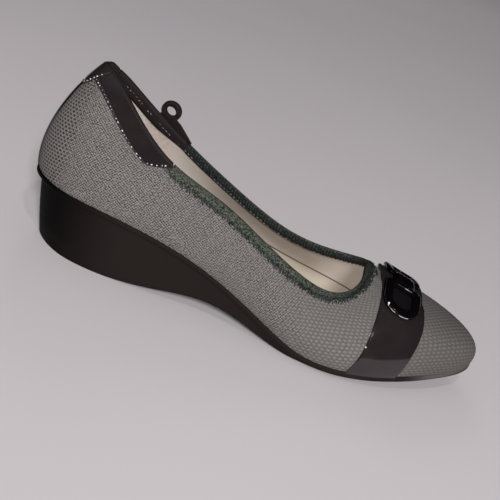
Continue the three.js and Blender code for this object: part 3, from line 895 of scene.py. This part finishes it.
points, faces, cloth, tab_map = folded(150, TRIM_ROWS, tab_place, puckered, 1.0, hem=(5.4, 5.4), crown=0.6)
add_piece("patent_heel_tab", points, faces, patent, ["heel_tab"], cloth=cloth)

strip_start = way_up(TAB_SEAM[1], TAB_EDGE, STRIP_EDGE[0][1])
strips = {}
for side, word in ((1, "lateral"), (-1, "medial")):
    def strip_place(s, t, side=side):
        line = lerp(tab_seam(lerp(strip_start, 1, t)), strip_end(t), s)
        return on_side(side, line), strip_edge(line)

    points, faces, cloth, strips[word] = folded(260, TRIM_ROWS, strip_place, puckered, 0.95, hem=(5.4, 2.5))
    add_piece(f"patent_strip_{word}", points, faces, patent, [f"collar_strip_{word}"], cloth=cloth)

# %% [markdown]
# Between its puckers the sewing thread lies on the patent. It is smooth and catches the light in
# bright dots, so it gets short threads of its own with painted highlights: pale where they would
# shine, dark between.

# %% Stitches with painted glints
SEWN_LENGTH, SEWN_LIFT, SEAM_LIFT = 0.95, 0.88, 1.05


def sewn(where):
    """Starts, ends and up directions of the stitches near the lower edge of a trim."""
    u, v, run, _ = (np.array([np.interp(STITCH_INSET, rise, row) for rise, row in zip(where[3], part)])
                    for part in where)
    middles = np.arange(0.5 * STITCH, run[-1] - 0.6, STITCH)
    middles = middles + 0.25 * np.sin(middles * 7.7)
    spots = [[np.interp(middles + side * SEWN_LENGTH / 2, run, part) for part in (u, v)] for side in (-1, 1)]
    start, end = (away(*place, SEWN_LIFT) for place in spots)
    return start, end, normal(*spots[0])


def turned(where):
    """The same trim seen from its far end, so that a row can run up along that end."""
    u, v, run, rise = where
    return [part[::-1].T for part in (u, v, rise, run[-1:] - run)]


def join_rows(rows):
    return [np.concatenate(part) for part in zip(*rows)]


# painted highlight: the near-white patches of these threads stand for glints, the dark ones for the thread
thread_with_painted_glints = two_tones("thread_with_painted_glints", 800.0, (58, 54, 54), (240, 236, 236), 1.0, (0.43, 0.62),
                          roughness=0.35)
rows = [sewn(where) for where in (strips["lateral"], strips["medial"], tab_map,
                                  turned(strips["lateral"]), turned(strips["medial"]))]
seam_t = np.array([0.08, 0.2, 0.31, 0.45, 0.56, 0.72])
seam_u, seam_v = tab_seam(seam_t) - 0.05, lerp(TAB_EDGE, cut_share(tab_seam(seam_t)), seam_t)
for side in (1, -1):
    low = away(side * seam_u, seam_v - 0.012, SEAM_LIFT)
    high = away(side * (seam_u + 0.03), seam_v, SEAM_LIFT)
    rows.append((low, high, normal(side * seam_u, seam_v)))
strew(*join_rows(rows), 0.56, thread_with_painted_glints, "bright_stitches", "patent", 0.4)

# %% [markdown]
# ## The elastic binding
# Round the throat runs a dark grey-green elastic: a smooth rolled bead on the rim and a gathered
# skirt of fine ribs below it, whose lower edge ends in small tongues.

# %% Binding
RIB = 1.6                        # from one gather of the skirt to the next


def elastic_finish():
    finish = Finish("grey_green_elastic", roughness=0.85, specular_ior_level=0.2)
    run, rise = finish.cloth()
    lint = finish.noise(1300.0, 3.0, roughness=0.65)
    blotch = finish.noise(120.0, 3.0)
    ribs = (run + lint * 1.5).wave(RIB)
    bead = rise.between(3.6, 4.4)
    # the inside of the hem is a dark ribbed elastic; at the near rim this dark tone also stands for painted
    # shade along the inner edge
    inside = rise.between(PAST_LEG + 1.0, PAST_LEG + 2.4)
    skirt_tone = finish.blend(lint.between(0.38, 0.62), srgb(11, 14, 13), srgb(102, 106, 98))
    bead_tone = finish.blend(lint.between(0.38, 0.62), srgb(26, 31, 27), srgb(88, 91, 81))
    outside = finish.blend(bead, skirt_tone, bead_tone)
    ridge = ribs.between(-1.8, 1.2) * lint.between(0.38, 0.6)
    ribbed = finish.blend(ridge, srgb(16, 19, 20), srgb(60, 65, 63))
    front = finish.blend(finish.axes()[0].between(0.04, 0.056, 0.0, 0.65), outside, srgb(24, 28, 26))
    tone = finish.blend(inside, front, ribbed)
    return finish.set(
        Base_Color=finish.blend(blotch.between(0.45, 0.8) * 0.35, tone, srgb(26, 34, 30)),
        Roughness=lint.between(0.2, 0.8, 0.6, 0.9),
        Normal=finish.bump(ribs * 0.3 + lint, 0.0002),
    )


def binding_place(s, t):
    end = STRIP_END[1]
    start = way_up(end, STRIP_EDGE[-1][1], share_below(end, SKIRT))
    first = strip_end(lerp(start, 1, t))
    line = lerp(first, LINES - first, s)
    frill = 0.3 * np.cos(2 * np.pi * rim_distance(line) / RIB)
    return line, share_below(line, SKIRT - 0.5 + frill)


def gathers(run, rise):
    ribs = np.abs(np.cos(np.pi * run / RIB)) ** 0.7
    zone = smooth(0.0, 0.5, rise) * smooth(4.3, 3.4, rise)
    return edge_roll(rise, 0.75) + 0.45 * zone * (ribs - 0.4)


points, faces, cloth, _ = folded(1400, 22, binding_place, gathers, 1.25, hem=(1.4, 2.6))
add_piece("gathered_binding", points, faces, elastic_finish(), ["topline_binding"], cloth=cloth)

# %% [markdown]
# Short dark threads run slantwise off the skirt's lower edge and bind it to the mesh. They are many
# and alike, so they are strewn, each put a little out of line by a fast sine of its place.

# %% Threads along the skirt
THREADS = 212
dark_thread = two_tones("dark_thread", 700.0, (24, 28, 26), (58, 64, 60), edges=(0.35, 0.65), roughness=0.6)
skirt_lines = np.linspace(STRIP_END[1] + 0.02, LINES - STRIP_END[1] - 0.02, THREADS)
wander = np.sin(skirt_lines * 977.0)
skew = 0.01 + 0.012 * wander
thread_low = away(skirt_lines + skew, share_below(skirt_lines, SKIRT + 0.5 + 0.5 * wander), 0.15)
thread_high = away(skirt_lines - skew, share_below(skirt_lines, SKIRT - 2.2), 0.95)
thread_up = normal(skirt_lines, share_below(skirt_lines, SKIRT))
strew(thread_low, thread_high, thread_up, 0.65, dark_thread, "skirt_threads", "elastic", 0.5)

# %% [markdown]
# Pale ends of the knit peep out between the dark threads, and inside the rim a line of pale stitches
# holds the hem all the way round.

# %% Pale ends and hem stitches
HEM_STITCH, HEM_START = 2.3, 20.0
pale_thread = two_tones("pale_thread", 260.0, (40, 42, 41), (138, 136, 131), 1.0, (0.42, 0.6), roughness=0.6)
end_lines = skirt_lines[:-1] + 0.5 * np.diff(skirt_lines)
end_place = SKIRT - 0.2 + 1.1 * np.sin(end_lines * 553.0)
end_low = away(end_lines, share_below(end_lines, end_place + 0.5), 0.5)
end_high = away(end_lines + 0.02, share_below(end_lines, end_place - 0.4), 0.9)
end_up = normal(end_lines, share_below(end_lines, SKIRT))
strew(end_low, end_high, end_up, 0.45, pale_thread, "pale_ends", "elastic", 0.4)

hem_run = np.arange(HEM_START, rim_run[-1] - HEM_START, HEM_STITCH)


def on_hem(distance, drop):
    """Points on the hem inside the rim, at a distance along it, and the way they face."""
    u = np.interp(distance, rim_run, rim_lines)
    v = cut_share(u)
    return away(u, v, -WALL - 1.35) - unit(climb(u, v)) * drop[:, None], -normal(u, v)


hem_start, hem_up = on_hem(hem_run, 1.2 + 0.3 * np.sin(hem_run * 5.1))
hem_end, _ = on_hem(hem_run + 1.2, 1.3 + 0.3 * np.sin(hem_run * 3.7))
strew(hem_start, hem_end, hem_up, 0.4, pale_thread, "hem_stitches", "elastic", 0.4)

# %% [markdown]
# ## Backstay and vamp band
# Flat patent pieces follow the last with their edges rolled down. The band crosses the vamp between
# two planes; on each plane the place on the last is found by halving.

# %% Flat patent pieces
HALVINGS = 36


def halve(low, high, beyond):
    """Where the answer of beyond turns from true to false."""
    for _ in range(HALVINGS):
        middle = (low + high) / 2
        ahead = beyond(middle)
        low, high = np.where(ahead, middle, low), np.where(ahead, high, middle)
    return (low + high) / 2


def line_at(x, v, side):
    """Line of the given side that crosses the plane at x, at height v."""
    return halve(TOE_LINE - 5.0 * side, TOE_LINE + 0.0 * side, lambda u: skin(u, v)[..., 0] < x)


def share_at(x, u):
    """Height at which line u crosses the plane at x."""
    return halve(0 * u, 0 * u + 1, lambda v: skin(u, v)[..., 0] > x)


def across(x, t):
    """Line and height where the plane at x meets the vamp, t from the lateral to the medial side."""
    side = np.where(t < 0.5, 1.0, -1.0)
    turn = np.abs(2 * t - 1)
    corner = 0.5                 # height at which the search turns from lines to heights
    low_v = lerp(corner, 0.0, np.clip(2 * turn - 1, 0, 1))
    low_u = line_at(x, low_v, side)
    high_u = lerp(TOE_LINE, line_at(x, corner + 0 * x, side), np.clip(2 * turn, 0, 1))
    high_v = share_at(x, high_u)
    low = turn > 0.5
    return np.where(low, low_u, high_u), np.where(low, low_v, high_v)


def flat_trim(name, u, v, thickness, replaced, edges, lift=0.0):
    """A patent piece on a grid of places; edges gives the distance to the nearest free edge."""
    top = away(u, v, edge_roll(edges, thickness) - 0.1 + lift)
    low = away(u, v, -0.3)
    rows, cols = u.shape
    count = rows * cols
    cloth = np.stack([run_along(top), rise_along(top)], axis=-1).reshape(-1, 2)
    faces = grid_faces(rows, cols)
    faces += [face[::-1] for face in shifted(faces, count)]
    rim_ids = ([(i, 0) for i in range(rows)] + [(rows - 1, j) for j in range(1, cols)]
               + [(i, cols - 1) for i in range(rows - 2, -1, -1)] + [(0, j) for j in range(cols - 2, 0, -1)])
    ids = [i * cols + j for i, j in rim_ids]
    faces += [[a, a + count, b + count, b][::-1] for a, b in zip(ids, ids[1:] + ids[:1])]
    both = np.concatenate([top.reshape(-1, 3), low.reshape(-1, 3)])
    add_piece(name, both, faces, patent, replaced, cloth=np.concatenate([cloth, cloth]))


BACKSTAY, BACKSTAY_THICK = 10.5, 0.9
stay_s, stay_t = grid(np.linspace(-1, 1, 29), np.linspace(0, TAB_EDGE + 0.01, 120))
stay_u = stay_s * (BACKSTAY / 2 / np.linalg.norm(skin(1, 0.5) - skin(0, 0.5)))
stay_run = run_along(skin(stay_u, stay_t))
stay_edges = np.minimum(stay_run, stay_run[-1:] - stay_run)
flat_trim("patent_backstay", stay_u, stay_t, BACKSTAY_THICK, ["backstay"], stay_edges)

BAND, BAND_REAR, BAND_SWAY, BAND_BOW, BAND_ASKEW = 24.0, 0.759, 0.010, 0.011, 0.022
BAND_THICK, BAND_LIFT = 1.1, 1.3
band_s, band_t = grid(np.linspace(0, 1, 261), np.linspace(0, 1, 49))
band_down = np.abs(2 * band_s - 1)
band_rear = BAND_REAR + BAND_BOW * np.sin(np.pi * band_down) - BAND_SWAY * band_down ** 2
band_rear = band_rear - BAND_ASKEW * smooth(0.46, 0.62, band_s)
band_x = LENGTH * band_rear + BAND * band_t
band_u, band_v = across(band_x, band_s)
band_rise = rise_along(skin(band_u, band_v))
band_edges = np.minimum(band_rise, band_rise[:, -1:] - band_rise)
band_lift = BAND_LIFT * smooth(0.5, 0.56, band_s) * smooth(0.76, 0.66, band_s)
flat_trim("patent_band", band_u, band_v, BAND_THICK, ["vamp_band"], band_edges, band_lift)

# %% [markdown]
# At the rear edge of the band a painted highlight shines: one short near-white thread stands for a glint.

# %% Painted glint on the band
GLINT_LINE, GLINT_SHARE = np.array([6.69]), np.array([0.425])
# painted highlight: a near-white thread for the glint on the band's rear edge
painted_glint_dot = two_tones("painted_glint_dot", 500.0, (250, 248, 248), (236, 232, 232), roughness=0.3)
glint_ends = away(GLINT_LINE, GLINT_SHARE, 1.0), away(GLINT_LINE + 0.02, GLINT_SHARE + 0.008, 1.0)
strew(*glint_ends, normal(GLINT_LINE, GLINT_SHARE), 0.9, painted_glint_dot, "band_tack", "patent", 0.3)

# %% [markdown]
# ## The double D ring
# Two glossy D rings stand on the band, joined by a ribbed link. A ring is an oval bar swept round
# its outline, over a thin dark plate that paints the shade in its window; the ornament is bent to the
# crown of the vamp, so it is drawn flat first and then rolled onto a circle.

# %% Ornament
RING_REACH, RING_DEPTH, RING_BAR, RING_THICK, RING_BEND, RING_SEAT = 27.6, 19.8, 4.4, 2.3, 64.0, 0.9
RING_YAW, RING_BACK, ORNAMENT_ASIDE, PATENT = 0.08, 1.9, 0.03, 0.8
LINK_WIDTH, LINK_DEPTH, LINK_PROUD, LINK_FOOT = 8.0, 11.0, 0.9, 1.4
crest_v = share_at(LENGTH * BAND_REAR + BAND / 2, TOE_LINE)
toe_way = unit(-climb(TOE_LINE, crest_v) * np.array([1, 0, 1]))
ring_up = np.array([-toe_way[2], 0, toe_way[0]])
ring_base = away(TOE_LINE, crest_v, GAP + PATENT + GAP + RING_SEAT)
ring_base[1] = ORNAMENT_ASIDE * BALL
ring_base = ring_base - RING_BACK * toe_way


def on_vamp(along, ahead, height):
    """Rolls a flat drawing of the ornament onto the crown of the vamp."""
    radius = RING_BEND + height
    p = ring_base + np.multiply.outer(ahead - RING_YAW * along, toe_way)
    p = p + np.multiply.outer(radius * np.sin(along / RING_BEND), np.array([0, 1.0, 0]))
    return p + np.multiply.outer(radius * np.cos(along / RING_BEND) - RING_BEND, ring_up)


def bezier(a, b, c, d, count):
    """Points of a cubic curve, without its last one."""
    t = np.linspace(0, 1, count, endpoint=False)[:, None]
    a, b, c, d = (np.array(p, float) for p in (a, b, c, d))
    return (1 - t) ** 3 * a + 3 * (1 - t) ** 2 * t * b + 3 * (1 - t) * t ** 2 * c + t ** 3 * d


def ring_outline():
    """Middle line of the bar: a straight back at the link, a round front."""
    inner = LINK_WIDTH / 2 + GAP + RING_BAR / 2
    outer = RING_REACH - RING_BAR * 0.6
    half = (RING_DEPTH - RING_BAR) / 2
    round_off = 0.45 * (outer - inner)
    corner = RING_BAR * 0.4
    shoulder, bow = outer - round_off, outer - 0.3 * round_off
    chain = [
        (inner, corner - half), (inner, -half / 2), (inner, half / 2),
        (inner, half - corner), (inner, half), (inner, half),
        (inner + corner, half), (inner + 2, half), (shoulder - 1, half),
        (shoulder, half), (bow, half), (outer, 0.55 * half),
        (outer, 0), (outer, -0.55 * half), (bow, -half),
        (shoulder, -half), (shoulder - 1, -half), (inner + 2, -half),
        (inner + corner, -half), (inner, -half), (inner, -half),
    ]
    chain += chain[:1]
    counts = (24, 8, 16, 30, 30, 16, 8)
    return np.concatenate([bezier(*chain[3 * k: 3 * k + 4], count) for k, count in enumerate(counts)])


def gloss_finish():
    finish = Finish("black_gloss", coat_roughness=0.02, specular_ior_level=0.12)
    wave = finish.noise(180.0, 1.0)
    polish = finish.noise(330.0, 2.0)
    return finish.set(
        Base_Color=finish.blend(wave, srgb(6, 4, 6), srgb(11, 8, 10)),
        Roughness=wave.between(0.2, 0.8, 0.12, 0.22),
        Coat_Weight=polish.between(0.52, 0.62),
        Normal=finish.bump(wave, 0.00008),
    )


gloss = gloss_finish()
outline = ring_outline()
ahead = np.roll(outline, -1, axis=0) - np.roll(outline, 1, axis=0)
out_way = unit(np.stack([ahead[:, 1], -ahead[:, 0]], axis=-1))
if ((outline - outline.mean(axis=0)) * out_way).sum() < 0:
    out_way = -out_way
broad = RING_BAR * lerp(1, 1.2, np.clip((outline[:, 0] - 0.7 * RING_REACH) / (0.3 * RING_REACH), 0, 1))
BAR_POINTS = 20
turn = np.linspace(0, 2 * np.pi, BAR_POINTS, endpoint=False)
swell = np.where(np.sin(turn) > 0, 0.6, 0.45)
cushion = np.stack([full(np.cos(turn), 0.8) / 2, 0.45 + full(np.sin(turn), 0.85) * swell])
for side, word in ((-1, "lateral"), (1, "medial")):
    flat_a = outline[:, None, 0] + out_way[:, None, 0] * cushion[0] * broad[:, None]
    flat_b = outline[:, None, 1] + out_way[:, None, 1] * cushion[0] * broad[:, None]
    points = on_vamp(side * flat_a, flat_b, cushion[1] * RING_THICK + 0 * flat_a)
    add_piece(f"d_ring_{word}", points, grid_faces(len(outline), BAR_POINTS, True, True), gloss,
              [f"ornament_ring_{word}"])

# %% [markdown]
# Painted highlights lie along the near ring's rim and window, and at three corners. Reflections
# that thin would come and go with every lamp, so they are painted on fine pale threads laid on the edges.

# %% Painted highlights on the ring
def on_ring(side, reach, height):
    """Points along a ring, from its middle line outwards by a share of the bar."""
    place = outline + out_way * broad[:, None] * reach
    return on_vamp(side * place[:, 0], place[:, 1], height * RING_THICK + 0 * place[:, 0])


# painted highlight: pale threads on the ring's edges and corners stand for its glints
painted_edge_glint = two_tones("painted_edge_glint", 420.0, (60, 56, 58), (245, 240, 242), 1.0, (0.42, 0.56), roughness=0.3)
rim_edge, window_edge = on_ring(-1, 0.52, 0.5), on_ring(-1, -0.3, 0.98)
steps = [(rim_edge, k) for k in range(68, 92, 2)] + [(window_edge, k) for k in range(5, 19, 2)]
strew(np.array([line[k] for line, k in steps]), np.array([line[k + 2] for line, k in steps]),
      np.tile(ring_up, (len(steps), 1)), 0.24, painted_edge_glint, "painted_edge_glints", "ornament", 0.6)
corners = [(on_ring(-1, 0.5, 0.75), 91, 1.0), (on_ring(-1, 0.1, 1.0), 27, 0.5),
           (on_ring(1, 0.3, 1.0), 20, 0.5)]
for number, (line, k, thickness) in enumerate(corners):
    strew(line[[k]], line[[k + 2]], ring_up[None, :], thickness, painted_edge_glint, f"painted_corner_glint_{number}",
          "ornament", 0.5)

# %% [markdown]
# Each window is closed by a thin dark plate that paints the shade in it, and the ribbed link is a
# squarish bar along the shoe whose girth swells and falls. Both are drawn flat and rolled like the rings.

# %% Window plates and link
LINK_POINTS, LINK_SECTIONS = 40, 61
# painted shade: dark plates darken the windows, where shade falls between ring and band
window_shade_plate = two_tones("window_shade_plate", 200.0, (17, 14, 17), (24, 20, 23), roughness=0.35,
                       specular_ior_level=0.2)
middle = outline.mean(axis=0)
plate = middle + (outline - middle)[:, None] * np.array([1.0, 0.8, 0.55, 0.3, 0.02])[None, :, None]
for side, word in ((-1, "lateral"), (1, "medial")):
    add_piece(f"d_window_{word}", on_vamp(side * plate[..., 0], plate[..., 1], 0.15),
              grid_faces(*plate.shape[:2], True), window_shade_plate, outside=lambda p: 0 * p + ring_up)

link_t = np.linspace(0, 2 * np.pi, LINK_POINTS, endpoint=False)
link_b = np.linspace(-1, 1, LINK_SECTIONS)
cap = LINK_WIDTH / 2 + 0.35 * RING_BAR
rounding = np.sqrt(np.clip(1 - np.abs(link_b) ** 6, 0.02, 1))
ribbing = 1 + 0.035 * np.cos(link_b * np.pi * 5)
link_a = full(np.cos(link_t), 0.7) * cap
link_h = full(np.sin(link_t), 0.8) * (RING_THICK + GAP + LINK_PROUD - 1.2)
link_points = on_vamp(link_a * ((0.75 + 0.25 * rounding) * ribbing)[:, None],
                      link_b[:, None] * LINK_DEPTH / 2 + 0 * link_a,
                      np.maximum(LINK_FOOT + link_h * (rounding * ribbing)[:, None], -0.3))
link_faces = grid_faces(LINK_SECTIONS, LINK_POINTS, False, True) + end_lids(LINK_SECTIONS, LINK_POINTS)
add_piece("ring_link", link_points, link_faces, gloss, ["ornament_link"])

# %% [markdown]
# ## The pull loop
# A small ring of black cord stands at the inner rim, outside the strip: one bar swept round an
# oval. Its tail is sewn down along the rim and thins out towards the toe.

# %% Pull loop
LOOP_LINE, LOOP_WIDTH, LOOP_HEIGHT, LOOP_BAR, LOOP_SINK, LOOP_PLAY = 13.64, 10.9, 10.0, 2.8, 1.2, 1.0
LOOP_POINTS, TAIL_POINTS, TAIL_THICK, TAIL_OFF, TAIL_FOOT = 96, 60, 1.2, 2.1, -4.0
TAIL_TOP = ((12.98, 0), (13.1, 1.0), (13.22, 2.0), (13.35, 2.9), (13.5, 3.2), (13.66, 1.6), (13.76, -0.6))
loop_ahead = unit(skin(LOOP_LINE - 0.05, 1) - skin(LOOP_LINE + 0.05, 1))
loop_out = unit(np.cross(UP, loop_ahead))
loop_rise = np.cross(loop_ahead, loop_out)
loop_centre = (skin(LOOP_LINE, 1) + loop_out * (GAP + PATENT + LOOP_PLAY + LOOP_BAR / 2)
               + loop_rise * (LOOP_HEIGHT / 2 - LOOP_SINK))
angle = np.linspace(0, 2 * np.pi, LOOP_POINTS, endpoint=False)
loop_way = np.outer(np.cos(angle), loop_ahead), np.outer(np.sin(angle), loop_rise)
loop_path = (loop_centre + loop_way[0] * (LOOP_WIDTH - LOOP_BAR) / 2
             + loop_way[1] * (LOOP_HEIGHT - LOOP_BAR) / 2)
loop_girth = LOOP_BAR + 0.7 * np.abs(np.sin(angle))
loop_points, loop_faces = bar(loop_path, loop_way[0] + loop_way[1], np.tile(loop_out, (LOOP_POINTS, 1)),
                              loop_girth, np.full(LOOP_POINTS, LOOP_BAR), segments=16, closed=True)

tail_u = np.linspace(TAIL_TOP[-1][0], TAIL_TOP[0][0], TAIL_POINTS)
tail_top = np.interp(tail_u, *zip(*TAIL_TOP))
tail_rim = skin(tail_u, 1)
tail_ahead = unit(np.gradient(tail_rim, axis=0))
tail_out = unit(np.cross(UP, tail_ahead))
tail_rise = np.cross(tail_ahead, tail_out)
tail_mid = tail_rim + tail_out * TAIL_OFF + tail_rise * ((tail_top + TAIL_FOOT) / 2)[:, None]
tail_points, tail_faces = bar(tail_mid, tail_out, tail_rise, np.full(TAIL_POINTS, TAIL_THICK),
                              tail_top - TAIL_FOOT, segments=20, power=0.6)
cord = Finish("black_cord", roughness=0.45)
twist = cord.noise(900.0, 3.0)
black_cord = cord.set(
    Base_Color=cord.blend(twist.between(0.3, 0.7), srgb(22, 16, 17), srgb(40, 30, 31)),
    Normal=cord.bump(twist, 0.0002),
)
add_piece("cord_loop", loop_points, loop_faces, black_cord, ["pull_loop"])
add_piece("loop_tail", tail_points, tail_faces, black_cord)

# %% [markdown]
# ## Camera
# The camera stands where the photograph was taken from: level with the lateral side, 22 degrees up,
# rolled 20 degrees, about half a metre away.

# %% Camera
AZIMUTH, ELEVATION, ROLL = math.radians(2.93), math.radians(21.76), math.radians(20.39)
DISTANCE, FOCUS, PICTURE, SENSOR = 518.3, 1024.5, 500.0, 36.0
AIM = np.array([116.7, 0, 30.2])
aim = (AIM + SHIFT) * MM
backward = np.array([math.sin(AZIMUTH) * math.cos(ELEVATION), -math.cos(AZIMUTH) * math.cos(ELEVATION),
                     math.sin(ELEVATION)])
right = unit(np.cross(-backward, UP))
upward = np.cross(right, -backward)
tilted_right = right * math.cos(ROLL) + upward * math.sin(ROLL)
tilted_up = upward * math.cos(ROLL) - right * math.sin(ROLL)
eye = aim + backward * DISTANCE * MM
lens = bpy.data.cameras.new("camera")
lens.sensor_width = SENSOR
lens.lens = SENSOR * FOCUS / PICTURE
camera = bpy.data.objects.new("camera", lens)
bpy.context.scene.collection.objects.link(camera)
camera.matrix_world = Matrix([[*row, place] for row, place in zip(
    np.stack([tilted_right, tilted_up, backward], axis=1).tolist(), eye.tolist())] + [[0, 0, 0, 1]])
bpy.context.scene.camera = camera
print("camera height, mm", round(eye[2] / MM))

# %% [markdown]
# ## Floor and light
# A pale matt floor stands for the sheet. It ends a short way in front of the shoe, so the patent
# shows a pale reflection low down and a dark one above it.

# %% Floor
FRONT, BACK, WIDE = -0.7, 6.0, 5.0
floor_corners = [(-WIDE, FRONT, 0), (WIDE, FRONT, 0), (WIDE, BACK, 0), (-WIDE, BACK, 0)]
pale_floor = two_tones("pale_floor", 3.0, (206, 200, 203), (214, 208, 210), 2.0, roughness=0.9)
floor_mesh = bpy.data.meshes.new("floor")
floor_mesh.from_pydata(floor_corners, [], [(0, 1, 2, 3)])
floor_mesh.materials.append(pale_floor)
floor = bpy.data.objects.new("floor", floor_mesh)
bpy.context.scene.collection.objects.link(floor)


# %% [markdown]
# One soft lamp hangs above the camera as in the photograph, a weak one on the far side and a small
# one above the shoe for glints. Only the small one may show in mirrors: the patent would turn grey
# under the others. The room itself adds a dim, faintly pink light.

# %% Lamps
ROOM_LIGHT, ROOM_TINT = 0.16, (1.0, 0.97, 0.99, 1)


def lamp(name, place, wide, power, mirrored):
    data = bpy.data.lights.new(name, "AREA")
    data.size = wide
    data.energy = power
    made = bpy.data.objects.new(name, data)
    made.location = place
    made.rotation_mode = "QUATERNION"
    made.rotation_quaternion = Vector(place).to_track_quat("Z", "Y")
    made.visible_glossy = mirrored
    bpy.context.scene.collection.objects.link(made)


lamp("above_the_camera", (0.5, -2.4, 1.3), 0.5, 83.0, False)
lamp("behind", (-0.6, 2.4, 1.7), 0.8, 8.0, False)
lamp("small_above", (0.15, -0.75, 1.05), 0.05, 1.8, True)
world = bpy.data.worlds.new("room")
world.use_nodes = True
room = world.node_tree.nodes["Background"].inputs
room["Color"].default_value = ROOM_TINT
room["Strength"].default_value = ROOM_LIGHT
world.cycles_visibility.glossy = False
bpy.context.scene.world = world
bpy.context.scene.view_settings.view_transform = "Standard"
